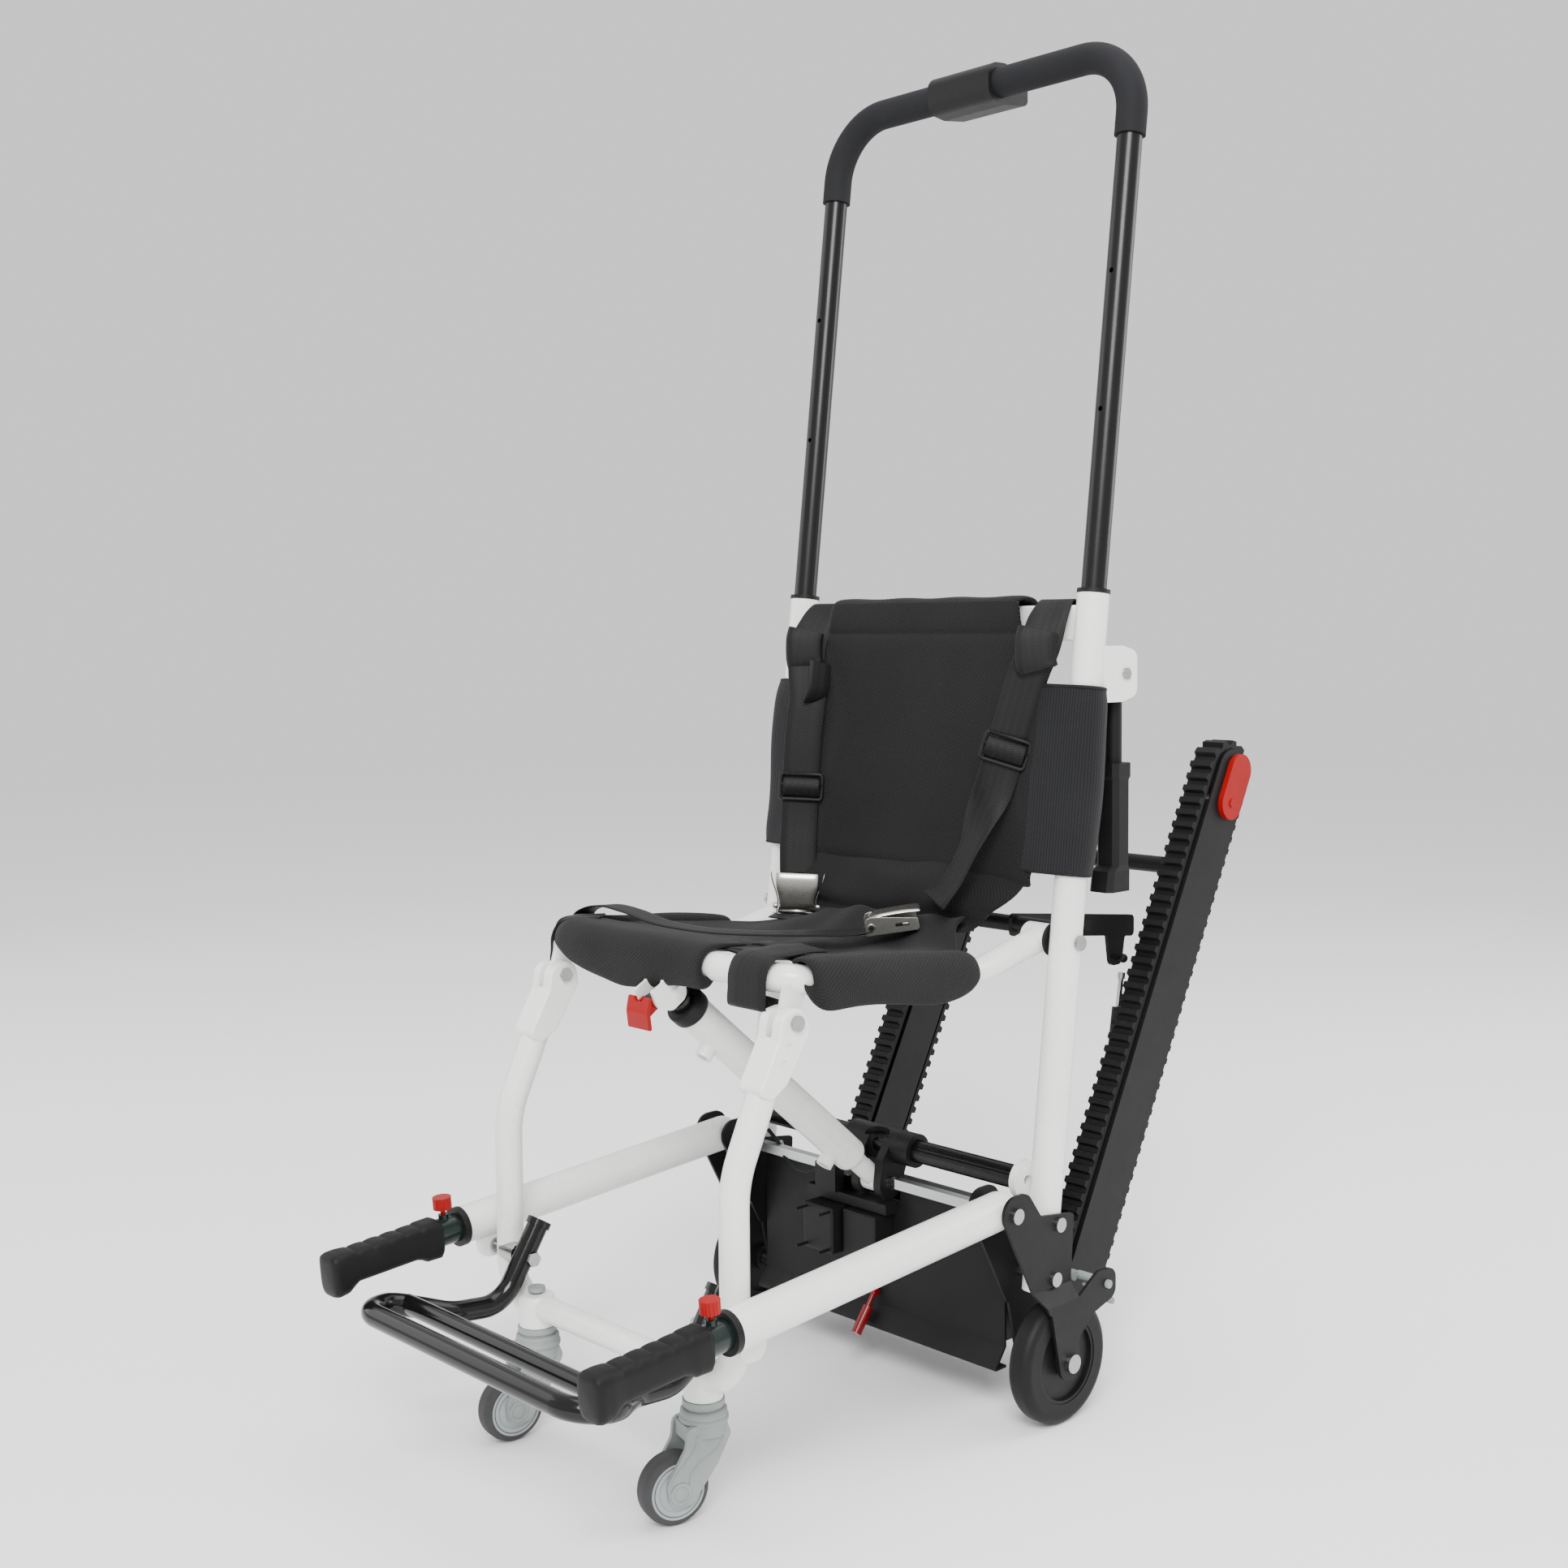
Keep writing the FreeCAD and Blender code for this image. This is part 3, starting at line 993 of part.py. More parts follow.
save("hinge_brackets", *pair(hinge_bracket()))
save("leg_fasteners", *[piece for part in leg_fasteners() for piece in pair(part)])
save_both("rail", rail())
save("rail_collars", *pair(rail_collar()))
for side_name, side in SIDES:
    save("caster_fork_" + side_name, caster_shape(caster_fork(), side_name, side))
    save("caster_wheel_" + side_name, caster_shape(caster_wheel(), side_name, side))
save_both("front_tube", front_tube())
save_both("front_grip", front_grip())
save_both("lock_knob", lock_knob())
save("strut_outer", strut_outer())
save("strut_inner", strut_inner())
save("strut_lever", strut_lever())
save("footrest", footrest())
save_both("rear_grip", rear_grip())
save("track_frame", track_frame())
save("track_belts", *pair(belt()))
save("track_covers", *pair(track_cover()))
save("top_rollers", *top_rollers())
save("drive_axle", drive_axle())
save("gas_cylinder", gas_cylinder())
save("gas_rod", gas_rod())
save_both("brake_pedal", brake_pedal())
save("back_sling", back_sling())
save("back_buckle", back_buckle())
save("seat_buckle", seat_buckle())
print("extent", EXTENT)
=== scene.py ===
"""Looks of the folding stair chair: materials, fabric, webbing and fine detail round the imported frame.

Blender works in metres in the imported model's frame: +X is the occupant's left, +Y the back, +Z up.
The chair's own places are written in millimetres and go through at() or lean_at().
"""
import math
import bmesh
import bpy
from mathutils import Matrix, Vector, noise


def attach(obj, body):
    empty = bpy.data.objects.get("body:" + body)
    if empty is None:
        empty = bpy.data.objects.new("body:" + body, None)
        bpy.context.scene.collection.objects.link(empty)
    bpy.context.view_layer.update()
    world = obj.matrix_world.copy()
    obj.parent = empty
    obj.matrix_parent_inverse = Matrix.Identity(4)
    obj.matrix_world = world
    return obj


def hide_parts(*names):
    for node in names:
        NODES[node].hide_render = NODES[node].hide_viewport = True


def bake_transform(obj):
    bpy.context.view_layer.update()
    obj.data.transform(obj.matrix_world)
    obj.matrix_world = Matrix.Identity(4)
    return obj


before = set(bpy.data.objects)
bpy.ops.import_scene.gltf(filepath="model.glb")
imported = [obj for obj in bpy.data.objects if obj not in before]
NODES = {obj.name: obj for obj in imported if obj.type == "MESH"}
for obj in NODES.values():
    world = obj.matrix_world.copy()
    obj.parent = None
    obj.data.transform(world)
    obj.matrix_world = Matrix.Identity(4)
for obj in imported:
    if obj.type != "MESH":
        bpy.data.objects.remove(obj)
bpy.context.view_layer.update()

MM = 0.001
SHIFT_Y = 0.10465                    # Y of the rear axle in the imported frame

# Millimetres, repeated from the chair's design
LEAN = math.radians(7.1)             # lean of the back frame
LEAN_Y, LEAN_Z = 85.0, 966.0         # a point on its centre line
SEAT_TUBE_X, TUBE_R = 205.0, 16.0    # the seat tube's sides and its radius
BEND_Y, BEND_Z = -75, 536            # where a side bends
REAR_RUN, REAR_RISE = 109.7, 26      # from the bend to the back
FRONT_RUN, FRONT_RISE = 293.0, 30    # from the bend to the front
CORNER_X, CORNER_Y, CORNER_R = 163, -326, 42
FRONT_Y, FRONT_Z = -368, 566         # the front tube's centre line
CLOTH_OVER = TUBE_R + 4              # from a tube's centre line to the cloth over it


# ---- places --------------------------------------------------------
def at(x, y, z):
    """Point given in millimetres from the rear axle line, the floor and the middle."""
    return Vector((x * MM, y * MM + SHIFT_Y, z * MM))


def upright_y(z):
    """Y in millimetres of the back frame's centre line at height z."""
    return LEAN_Y + (z - LEAN_Z) * math.tan(LEAN)


def lean_at(x, z, behind=0.0):
    """Point on the leaning back frame at height z, or square behind it (negative is in front)."""
    return at(x, upright_y(z) + behind * math.cos(LEAN), z - behind * math.sin(LEAN))


# ---- camera, light and floor ---------------------------------------
CAMERA_AT = (1630.2, -1714.2, 940.0)
AZIMUTH, ELEVATION, ROLL = math.radians(46.84), math.radians(4.92), math.radians(-0.63)
SENSOR_WIDTH, FOCAL_LENGTH = 36.0, 43.91553
FLOOR_SIDE, FLOOR_DROP = 9.0, 0.0006

# Name, position, height of the target, size, power
LIGHTS = (
    ("key", (2.3, -2.6, 3.2), 0.7, (1.8, 1.8), 250),
    ("fill", (-3.0, -1.6, 1.8), 0.6, (2.4, 2.4), 30),
    ("top", (0.2, 0.3, 3.6), 0.6, (2.6, 2.6), 70),
    ("rim", (1.6, 3.0, 2.0), 0.8, (1.6, 2.2), 60),
)


def linked(name, data):
    made = bpy.data.objects.new(name, data)
    bpy.context.scene.collection.objects.link(made)
    return made


def build_camera():
    level = math.cos(ELEVATION)
    back = Vector((math.sin(AZIMUTH) * level, -math.cos(AZIMUTH) * level, math.sin(ELEVATION)))
    flat = Vector((math.cos(AZIMUTH), math.sin(AZIMUTH), 0))
    upright = back.cross(flat)
    right = flat * math.cos(ROLL) + upright * math.sin(ROLL)
    up = upright * math.cos(ROLL) - flat * math.sin(ROLL)
    data = bpy.data.cameras.new("camera")
    data.sensor_width = SENSOR_WIDTH
    data.lens = FOCAL_LENGTH
    data.clip_end = 60
    camera = linked("camera", data)
    place = Matrix((right, up, back)).transposed().to_4x4()
    place.translation = at(*CAMERA_AT)
    camera.matrix_world = place
    bpy.context.scene.camera = camera


def area_light(name, position, target_height, size, power):
    data = bpy.data.lights.new(name, "AREA")
    data.shape = "RECTANGLE"
    data.size, data.size_y = size
    data.energy = power
    light = linked(name, data)
    light.location = position
    aim = Vector((0, 0, target_height)) - Vector(position)
    light.rotation_euler = aim.to_track_quat("-Z", "Y").to_euler()


def build_stage():
    world = bpy.data.worlds.new("studio")
    bpy.context.scene.world = world
    world.use_nodes = True
    background = world.node_tree.nodes["Background"]
    background.inputs["Color"].default_value = (1, 1, 1, 1)
    background.inputs["Strength"].default_value = 1.0
    for light in LIGHTS:
        area_light(*light)
    mesh = bpy.data.meshes.new("floor")
    corners = [(x * FLOOR_SIDE, y * FLOOR_SIDE, 0) for x, y in ((-1, -1), (1, -1), (1, 1), (-1, 1))]
    mesh.from_pydata(corners, [], [(0, 1, 2, 3)])
    floor = linked("floor", mesh)
    floor.location.z = -FLOOR_DROP
    surface = bpy.data.materials.new("floor_surface")
    surface.use_nodes = True
    shader = surface.node_tree.nodes["Principled BSDF"]
    shader.inputs["Base Color"].default_value = (0.97, 0.97, 0.97, 1)
    shader.inputs["Roughness"].default_value = 0.75
    mesh.materials.append(surface)


# ---- materials -----------------------------------------------------
def new_material(name, color, roughness, metallic=0.0, coat=0.0, coat_roughness=0.1, sheen=0.0,
                 specular=0.4):
    material = bpy.data.materials.new(name)
    material.use_nodes = True
    tree = material.node_tree
    shader = tree.nodes["Principled BSDF"]
    settings = {"Base Color": (*color, 1), "Roughness": roughness, "Metallic": metallic, "Coat Weight": coat,
                "Coat Roughness": coat_roughness, "Sheen Weight": sheen, "Specular IOR Level": specular}
    for socket, value in settings.items():
        shader.inputs[socket].default_value = value
    return material, tree, shader


def node(tree, kind, **settings):
    made = tree.nodes.new(kind)
    for key, value in settings.items():
        if key in made.inputs:
            made.inputs[key].default_value = value
        else:
            setattr(made, key, value)
    return made


def coordinates(tree, scale=(1, 1, 1), rotation=(0, 0, 0)):
    """Object coordinates, scaled and turned."""
    source = node(tree, "ShaderNodeTexCoord")
    mapping = node(tree, "ShaderNodeMapping")
    mapping.inputs["Scale"].default_value = scale
    mapping.inputs["Rotation"].default_value = rotation
    tree.links.new(source.outputs["Object"], mapping.inputs["Vector"])
    return mapping.outputs["Vector"]


def noise_output(tree, vector, scale, detail=4.0, roughness=0.55):
    made = node(tree, "ShaderNodeTexNoise", Scale=scale, Detail=detail, Roughness=roughness)
    tree.links.new(vector, made.inputs["Vector"])
    return made.outputs["Fac"]


def ramp(tree, value, stops):
    """Colour ramp through (position, colour) stops."""
    made = node(tree, "ShaderNodeValToRGB")
    elements = made.color_ramp.elements
    elements[0].position, elements[1].position = stops[0][0], stops[-1][0]
    elements[0].color, elements[1].color = (*stops[0][1], 1), (*stops[-1][1], 1)
    for position, color in stops[1:-1]:
        elements.new(position).color = (*color, 1)
    tree.links.new(value, made.inputs["Fac"])
    return made.outputs["Color"]


def rough_range(tree, shader, value, low, high):
    made = node(tree, "ShaderNodeMapRange")
    made.inputs["To Min"].default_value = low
    made.inputs["To Max"].default_value = high
    tree.links.new(value, made.inputs["Value"])
    tree.links.new(made.outputs["Result"], shader.inputs["Roughness"])


def bump(tree, shader, height, strength, distance):
    made = node(tree, "ShaderNodeBump", Strength=strength, Distance=distance)
    tree.links.new(height, made.inputs["Height"])
    tree.links.new(made.outputs["Normal"], shader.inputs["Normal"])


def scaled(color, factor):
    return tuple(min(1.0, channel * factor) for channel in color)


def coated(name, color, roughness, shades, gloss, grain, coat=0.0, coat_roughness=0.1, specular=0.4):
    """Even coat: broad noise varies the colour, a finer one the gloss, and the finest is relief.

    shades is (noise, stops), each stop a place and a share of the colour. gloss is (noise, low share,
    high share). grain is (noise, strength, depth). A noise is (scale, detail).
    """
    material, tree, shader = new_material(name, color, roughness, 0.0, coat, coat_roughness, 0.0, specular)
    vector = coordinates(tree)
    stops = [(place, scaled(color, share)) for place, share in shades[1]]
    color_out = ramp(tree, noise_output(tree, vector, *shades[0]), stops)
    tree.links.new(color_out, shader.inputs["Base Color"])
    fine = noise_output(tree, vector, *gloss[0])
    rough_range(tree, shader, fine, roughness * gloss[1], roughness * gloss[2])
    bump(tree, shader, noise_output(tree, vector, *grain[0]), grain[1], grain[2])
    return material


def painted(name, color, roughness, peel=0.03, coat=0.35, specular=0.4):
    """Enamel on tube: slight orange peel, faint handling marks and a little variation in gloss."""
    return coated(name, color, roughness, ((7, 5), ((0.3, 0.96), (0.55, 1.0), (0.8, 1.02))),
                  ((24, 6), 0.8, 1.35), ((900, 2), peel, 0.0004), coat, 0.08, specular)


def powder(name, color, roughness=0.42, grain=0.22):
    """Textured powder coat: fine even pimples and slightly uneven sheen."""
    return coated(name, color, roughness, ((12, 4), ((0.3, 0.85), (0.7, 1.2))),
                  ((60, 5), 0.85, 1.25), ((1500, 3), grain, 0.0005), specular=0.16)


def moulded(name, color, roughness=0.5, grain=0.12, coat=0.0):
    """Moulded plastic: spark-eroded grain, faint flow variation."""
    return coated(name, color, roughness, ((16, 4), ((0.3, 0.9), (0.7, 1.1))),
                  ((80, 4), 0.85, 1.15), ((2200, 2), grain, 0.0003), coat, 0.15, 0.2)


def metal(name, color, roughness, streaks=(1, 1, 1), scratch=0.05):
    """Bare or plated metal with fine directional wear."""
    material, tree, shader = new_material(name, color, roughness, metallic=1.0)
    vector = coordinates(tree, streaks)
    lines = noise_output(tree, vector, 260, 5, 0.7)
    color_out = ramp(tree, lines, [(0.3, scaled(color, 0.85)), (0.7, color)])
    tree.links.new(color_out, shader.inputs["Base Color"])
    rough_range(tree, shader, lines, roughness * 0.7, roughness * 1.5)
    bump(tree, shader, lines, scratch, 0.0003)
    return material


def rubber(name, color, roughness=0.62, dust=0.35, grain=0.2):
    """Moulded rubber: matte, with dusty wear in patches."""
    material, tree, shader = new_material(name, color, roughness, specular=0.16)
    vector = coordinates(tree)
    patches = noise_output(tree, vector, 22, 6, 0.65)
    worn = tuple(channel + 0.02 * dust for channel in color)
    color_out = ramp(tree, patches, [(0.35, scaled(color, 0.85)), (0.6, color), (0.8, worn)])
    tree.links.new(color_out, shader.inputs["Base Color"])
    rough_range(tree, shader, patches, roughness * 0.85, roughness * 1.2)
    bump(tree, shader, noise_output(tree, vector, 1300, 3), grain, 0.0004)
    return material


def math_node(tree, operation, first, second):
    made = node(tree, "ShaderNodeMath", operation=operation)
    for socket, value in zip(made.inputs, (first, second)):
        if isinstance(value, (int, float)):
            socket.default_value = value
        else:
            tree.links.new(value, socket)
    return made.outputs["Value"]


def cloth_uv(tree):
    """The cloth's own UV in metres: across and along."""
    uv = node(tree, "ShaderNodeUVMap", uv_map="strap")
    split = node(tree, "ShaderNodeSeparateXYZ")
    tree.links.new(uv.outputs["UV"], split.inputs["Vector"])
    return split.outputs["X"], split.outputs["Y"]


def spacer_mesh(name, color=(0.0075, 0.0075, 0.008), across=0.0042, along=0.003, slant=0.5):
    """Black spacer mesh: rows of small open cells; across and along are a cell's size, in metres."""
    material, tree, shader = new_material(name, color, 0.8, sheen=0.05, specular=0.12)
    u, v = cloth_uv(tree)
    row = math_node(tree, "MULTIPLY", v, math.tau / along)
    shift = math_node(tree, "MULTIPLY", v, math.tau * slant / along)
    column = math_node(tree, "ADD", math_node(tree, "MULTIPLY", u, math.tau / across), shift)
    waves = [math_node(tree, "SINE", phase, 0.0) for phase in (column, row)]
    cells = math_node(tree, "MULTIPLY", *waves)
    weave = math_node(tree, "ADD", math_node(tree, "MULTIPLY", cells, 0.5), 0.5)
    cloudy = math_node(tree, "MULTIPLY", noise_output(tree, coordinates(tree), 9, 4), 0.3)
    mixed = math_node(tree, "ADD", math_node(tree, "MULTIPLY", weave, 0.75), cloudy)
    color_out = ramp(tree, mixed, [(0.12, scaled(color, 0.2)), (0.4, color), (1.0, scaled(color, 2.2))])
    tree.links.new(color_out, shader.inputs["Base Color"])
    rough_range(tree, shader, weave, 0.7, 0.92)
    bump(tree, shader, weave, 0.6, 0.001)
    return material


def zigzag(tree, value):
    """Triangle wave of a value, with a period of one."""
    centred = math_node(tree, "SUBTRACT", math_node(tree, "FRACT", value, 0.0), 0.5)
    return math_node(tree, "ABSOLUTE", centred, 0.0)


def webbing_material(name, color=(0.0055, 0.0055, 0.006), columns=110.0, rows=420.0):
    """Polyester webbing: a fine twill on the strap's own UV; columns and rows are counts in a metre."""
    material, tree, shader = new_material(name, color, 0.55, sheen=0.015, specular=0.2)
    u, v = cloth_uv(tree)
    across = zigzag(tree, math_node(tree, "MULTIPLY", u, columns))
    lean = math_node(tree, "MULTIPLY", across, 1.6)
    twill = zigzag(tree, math_node(tree, "ADD", math_node(tree, "MULTIPLY", v, rows), lean))
    shares = [math_node(tree, "MULTIPLY", value, share) for value, share in ((twill, 1.3), (across, 0.7))]
    ribs = math_node(tree, "ADD", *shares)
    color_out = ramp(tree, ribs, [(0.05, scaled(color, 0.55)), (0.6, color), (1.0, scaled(color, 1.9))])
    tree.links.new(color_out, shader.inputs["Base Color"])
    rough_range(tree, shader, ribs, 0.45, 0.68)
    bump(tree, shader, ribs, 0.5, 0.0006)
    return material


WHITE = painted("white_enamel", (0.82, 0.825, 0.8), 0.26)
BLACK_POWDER = powder("black_powder_coat", (0.007, 0.007, 0.0075))
BLACK_GLOSS = painted("black_enamel", (0.005, 0.005, 0.0055), 0.14, 0.05, coat=0.05, specular=0.28)
BLACK_TUBE = painted("black_tube_coat", (0.005, 0.005, 0.0055), 0.26, 0.05, coat=0.03, specular=0.26)
GREEN_TUBE = painted("dark_green_tube", (0.007, 0.014, 0.012), 0.24, 0.05, coat=0.1, specular=0.3)
ZINC = metal("zinc_plate", (0.4, 0.4, 0.395), 0.24)
CHROME = metal("polished_chrome", (0.72, 0.72, 0.73), 0.1, scratch=0.02)
NICKEL = metal("satin_nickel", (0.52, 0.505, 0.47), 0.27, (1, 1, 8))
ALUMINIUM = metal("extruded_aluminium", (0.6, 0.61, 0.62), 0.35, (0.05, 1, 1), 0.1)
BLACK_PLASTIC = moulded("black_plastic", (0.007, 0.007, 0.0075), 0.48)
RED_PLASTIC = moulded("red_plastic", (0.27, 0.0008, 0.001), 0.36, 0.08, coat=0.03)
DARK_RED = moulded("dark_red_sleeve", (0.16, 0.002, 0.004), 0.3, 0.05, coat=0.3)
GREY_PLASTIC = moulded("grey_plastic", (0.25, 0.275, 0.265), 0.5, 0.15)
HUB_GREY = moulded("hub_grey_plastic", (0.3, 0.33, 0.33), 0.48, 0.12)
TYRE_BLACK = rubber("black_tyre", (0.009, 0.009, 0.0095), 0.5, 0.2, 0.08)
TYRE_GREY = rubber("grey_tyre", (0.055, 0.054, 0.056), 0.6, 0.6, 0.15)
BELT_RUBBER = rubber("belt_rubber", (0.008, 0.008, 0.0085), 0.55, 0.3, 0.3)
FOAM = rubber("foam_sleeve", (0.012, 0.012, 0.014), 0.75, 0.2, 0.5)
GRIP = rubber("grip_rubber", (0.007, 0.007, 0.0075), 0.5, 0.3, 0.25)
MESH = spacer_mesh("seat_mesh")
MESH_BACK = spacer_mesh("back_mesh", across=0.0044, along=0.0052, slant=0.0)
MESH_WING = spacer_mesh("wing_mesh", (0.01, 0.01, 0.011), across=0.0036, along=0.006, slant=1.0)
EDGE_TAPE = rubber("edge_binding", (0.012, 0.012, 0.013), 0.7, 0.1, 0.3)
WEBBING = webbing_material("webbing")

NODE_MATERIALS = {
    WHITE: "uprights upper_cross_tube rail_left rail_right leg_frame strut_outer seat_tube "
           "hinge_brackets",
    BLACK_POWDER: "outer_side_plates inner_side_plates drive_box seat_cross_tube track_frame "
                  "drive_axle",
    BLACK_TUBE: "push_handle lower_cross_tube",
    BLACK_GLOSS: "footrest strut_inner gas_cylinder",
    GREEN_TUBE: "front_tube_left front_tube_right",
    ZINC: "frame_fasteners leg_fasteners",
    CHROME: "gas_rod",
    NICKEL: "back_buckle seat_buckle",
    ALUMINIUM: "box_top_rail motor",
    BLACK_PLASTIC: "handle_collars strut_mount battery_pack controller motor_cable control_box "
                   "rail_collars top_rollers rear_hub_left rear_hub_right",
    RED_PLASTIC: "rocker_switch lock_knob_left lock_knob_right strut_lever track_covers",
    DARK_RED: "release_lever",
    GREY_PLASTIC: "caster_fork_left caster_fork_right brake_pedal_left brake_pedal_right",
    TYRE_BLACK: "rear_tyre_left rear_tyre_right",
    TYRE_GREY: "caster_wheel_left caster_wheel_right",
    BELT_RUBBER: "track_belts",
    FOAM: "handle_foam",
    GRIP: "front_grip_left front_grip_right rear_grip_left rear_grip_right",
    MESH: "seat_sling",
    MESH_BACK: "back_sling",
}


def dress_nodes():
    for material, names in NODE_MATERIALS.items():
        for name in names.split():
            data = NODES[name].data
            data.materials.clear()
            data.materials.append(material)


# ---- mesh helpers --------------------------------------------------
def add_object(name, mesh, material, smooth=True):
    piece = linked(name, mesh)
    mesh.materials.clear()
    mesh.materials.append(material)
    if smooth:
        mesh.shade_smooth()
    return piece


def bake_modifiers(piece):
    """Apply every modifier, so that the mesh is final."""
    bpy.context.view_layer.update()
    graph = bpy.context.evaluated_depsgraph_get()
    mesh = bpy.data.meshes.new_from_object(piece.evaluated_get(graph))
    piece.modifiers.clear()
    piece.data = mesh
    return piece


def grid(name, rows, material, closed=False):
    """Surface through rows of points; closed joins the last point of each row to its first."""
    count = len(rows[0])
    points = [tuple(point) for row in rows for point in row]
    faces = []
    for i in range(len(rows) - 1):
        for j in range(count if closed else count - 1):
            k = (j + 1) % count
            faces.append((i * count + j, i * count + k, (i + 1) * count + k, (i + 1) * count + j))
    mesh = bpy.data.meshes.new(name)
    mesh.from_pydata(points, [], faces)
    middle = rows[len(rows) // 2]
    column = [row[count // 2] for row in rows]
    across, along = [0.0], [0.0]
    for j in range(1, count + 1):
        across.append(across[-1] + (Vector(middle[j % count]) - Vector(middle[j - 1])).length)
    for i in range(1, len(rows)):
        along.append(along[-1] + (Vector(column[i]) - Vector(column[i - 1])).length)
    layer = mesh.uv_layers.new(name="strap")
    for face in mesh.polygons:
        at_seam = closed and any(mesh.loops[k].vertex_index % count == count - 1 for k in face.loop_indices)
        for loop in face.loop_indices:
            row, place = divmod(mesh.loops[loop].vertex_index, count)
            if at_seam and place == 0:
                place = count
            layer.data[loop].uv = (across[place], along[row])
    return add_object(name, mesh, material)


def thicken(piece, thickness, levels):
    """Turn a surface into a sheet, the same way out on both sides, and smooth it levels times."""
    solid = piece.modifiers.new("thickness", "SOLIDIFY")
    solid.thickness = thickness
    solid.offset = 0.0
    solid.use_even_offset = True
    solid.use_rim = True
    if levels:
        smooth = piece.modifiers.new("smooth", "SUBSURF")
        smooth.levels = smooth.render_levels = levels
    return bake_modifiers(piece)


def spline(points, samples):
    """Smooth curve through points, sampled evenly between each two."""
    padded = [points[0] * 2 - points[1]] + list(points) + [points[-1] * 2 - points[-2]]
    found = []
    for i in range(1, len(padded) - 2):
        p0, p1, p2, p3 = padded[i - 1:i + 3]
        for step in range(samples):
            t = step / samples
            found.append(0.5 * ((2 * p1) + (p2 - p0) * t + (2 * p0 - 5 * p1 + 4 * p2 - p3) * t * t
                                + (3 * p1 - 3 * p2 + p3 - p0) * t ** 3))
    found.append(padded[-2].copy())
    return found


def tube(name, points, radius, material, sides=16, samples=8):
    """Round cord or bar through points."""
    smooth = len(points) > 2 and samples > 1
    line = spline(points, samples) if smooth else list(points)
    turns = [math.tau * k / sides for k in range(sides)]
    rows = []
    heading = (line[1] - line[0]).normalized()
    side = heading.orthogonal().normalized()
    for i, point in enumerate(line):
        before, after = line[max(0, i - 1)], line[min(len(line) - 1, i + 1)]
        heading = (after - before).normalized()
        side = (side - heading * side.dot(heading)).normalized()
        other = heading.cross(side)
        rows.append([point + (side * math.cos(turn) + other * math.sin(turn)) * radius for turn in turns])
    piece = grid(name, rows, material, closed=True)
    cap_ends(piece, len(rows), sides)
    return piece


def cap_ends(piece, rings, sides, outward=False):
    """Close both ends of a tube of rings; outward also turns every face out."""
    work = bmesh.new()
    work.from_mesh(piece.data)
    work.verts.ensure_lookup_table()
    work.faces.new([work.verts[k] for k in reversed(range(sides))])
    work.faces.new([work.verts[(rings - 1) * sides + k] for k in range(sides)])
    if outward:
        bmesh.ops.recalc_face_normals(work, faces=work.faces)
    work.to_mesh(piece.data)
    work.free()
    piece.data.shade_smooth()


def strap(name, points, across, width, thickness, samples=8):
    """Flat webbing through points; across is the direction of its width at each point."""
    line = spline(points, samples)
    sides = spline([Vector(direction) for direction in across], samples)
    half = width / 2
    edge = thickness / 2
    section = ((-half, 0), (-half + edge, edge), (-half / 2, edge), (0, edge), (half / 2, edge),
               (half - edge, edge), (half, 0), (half - edge, -edge), (half / 2, -edge), (0, -edge),
               (-half / 2, -edge), (-half + edge, -edge))
    rows, travel = [], [0.0]
    for i, point in enumerate(line):
        before, after = line[max(0, i - 1)], line[min(len(line) - 1, i + 1)]
        heading = (after - before).normalized()
        side = (sides[i] - heading * sides[i].dot(heading)).normalized()
        face = heading.cross(side)
        rows.append([point + side * a + face * b for a, b in section])
        if i:
            travel.append(travel[-1] + (line[i] - line[i - 1]).length)
    piece = grid(name, rows, WEBBING, closed=True)
    ring = len(section)
    cap_ends(piece, len(rows), ring)
    layer = piece.data.uv_layers["strap"]
    offsets = (-half, -half, -half / 2, 0, half / 2, half, half, half, half / 2, 0, -half / 2, -half)
    for loop in piece.data.loops:
        row, column = divmod(loop.vertex_index, ring)
        layer.data[loop.index].uv = (offsets[column] + half, travel[row])
    piece["flat"] = [width, travel[-1]]
    return piece


def finished_mesh(name, work):
    mesh = bpy.data.meshes.new(name)
    work.to_mesh(mesh)
    work.free()
    return mesh


def round_edges(work, offset, segments):
    edges = list(work.edges)
    bmesh.ops.bevel(work, geom=edges, offset=offset, segments=segments, profile=0.6, affect="EDGES")


def box_mesh(name, size, place, material, bevel):
    """Rounded box; place is a 4x4 matrix."""
    work = bmesh.new()
    bmesh.ops.create_cube(work, size=1.0)
    bmesh.ops.scale(work, vec=Vector(size), verts=work.verts)
    round_edges(work, bevel, 3)
    bmesh.ops.transform(work, matrix=place, verts=work.verts)
    return add_object(name, finished_mesh(name, work), material)


def frame_at(origin, along, facing):
    """Matrix with X along a strap's width, Y along its length, Z out of its face."""
    y = Vector(along).normalized()
    z = (Vector(facing) - y * Vector(facing).dot(y)).normalized()
    x = y.cross(z)
    matrix = Matrix((x, y, z)).transposed().to_4x4()
    matrix.translation = origin
    return matrix


def lathe(name, profile, place, material, sides=48):
    """Turned shape about the local Z axis from (radius, height) pairs."""
    turns = [math.tau * k / sides for k in range(sides)]
    rows = [[place @ Vector((radius * math.cos(turn), radius * math.sin(turn), height)) for turn in turns]
            for radius, height in profile]
    piece = grid(name, rows, material, closed=True)
    cap_ends(piece, len(rows), sides, outward=True)
    return piece


def axis_matrix(origin, direction):
    """Matrix whose Z axis points along direction."""
    matrix = Vector(direction).to_track_quat("Z", "Y").to_matrix().to_4x4()
    matrix.translation = origin
    return matrix


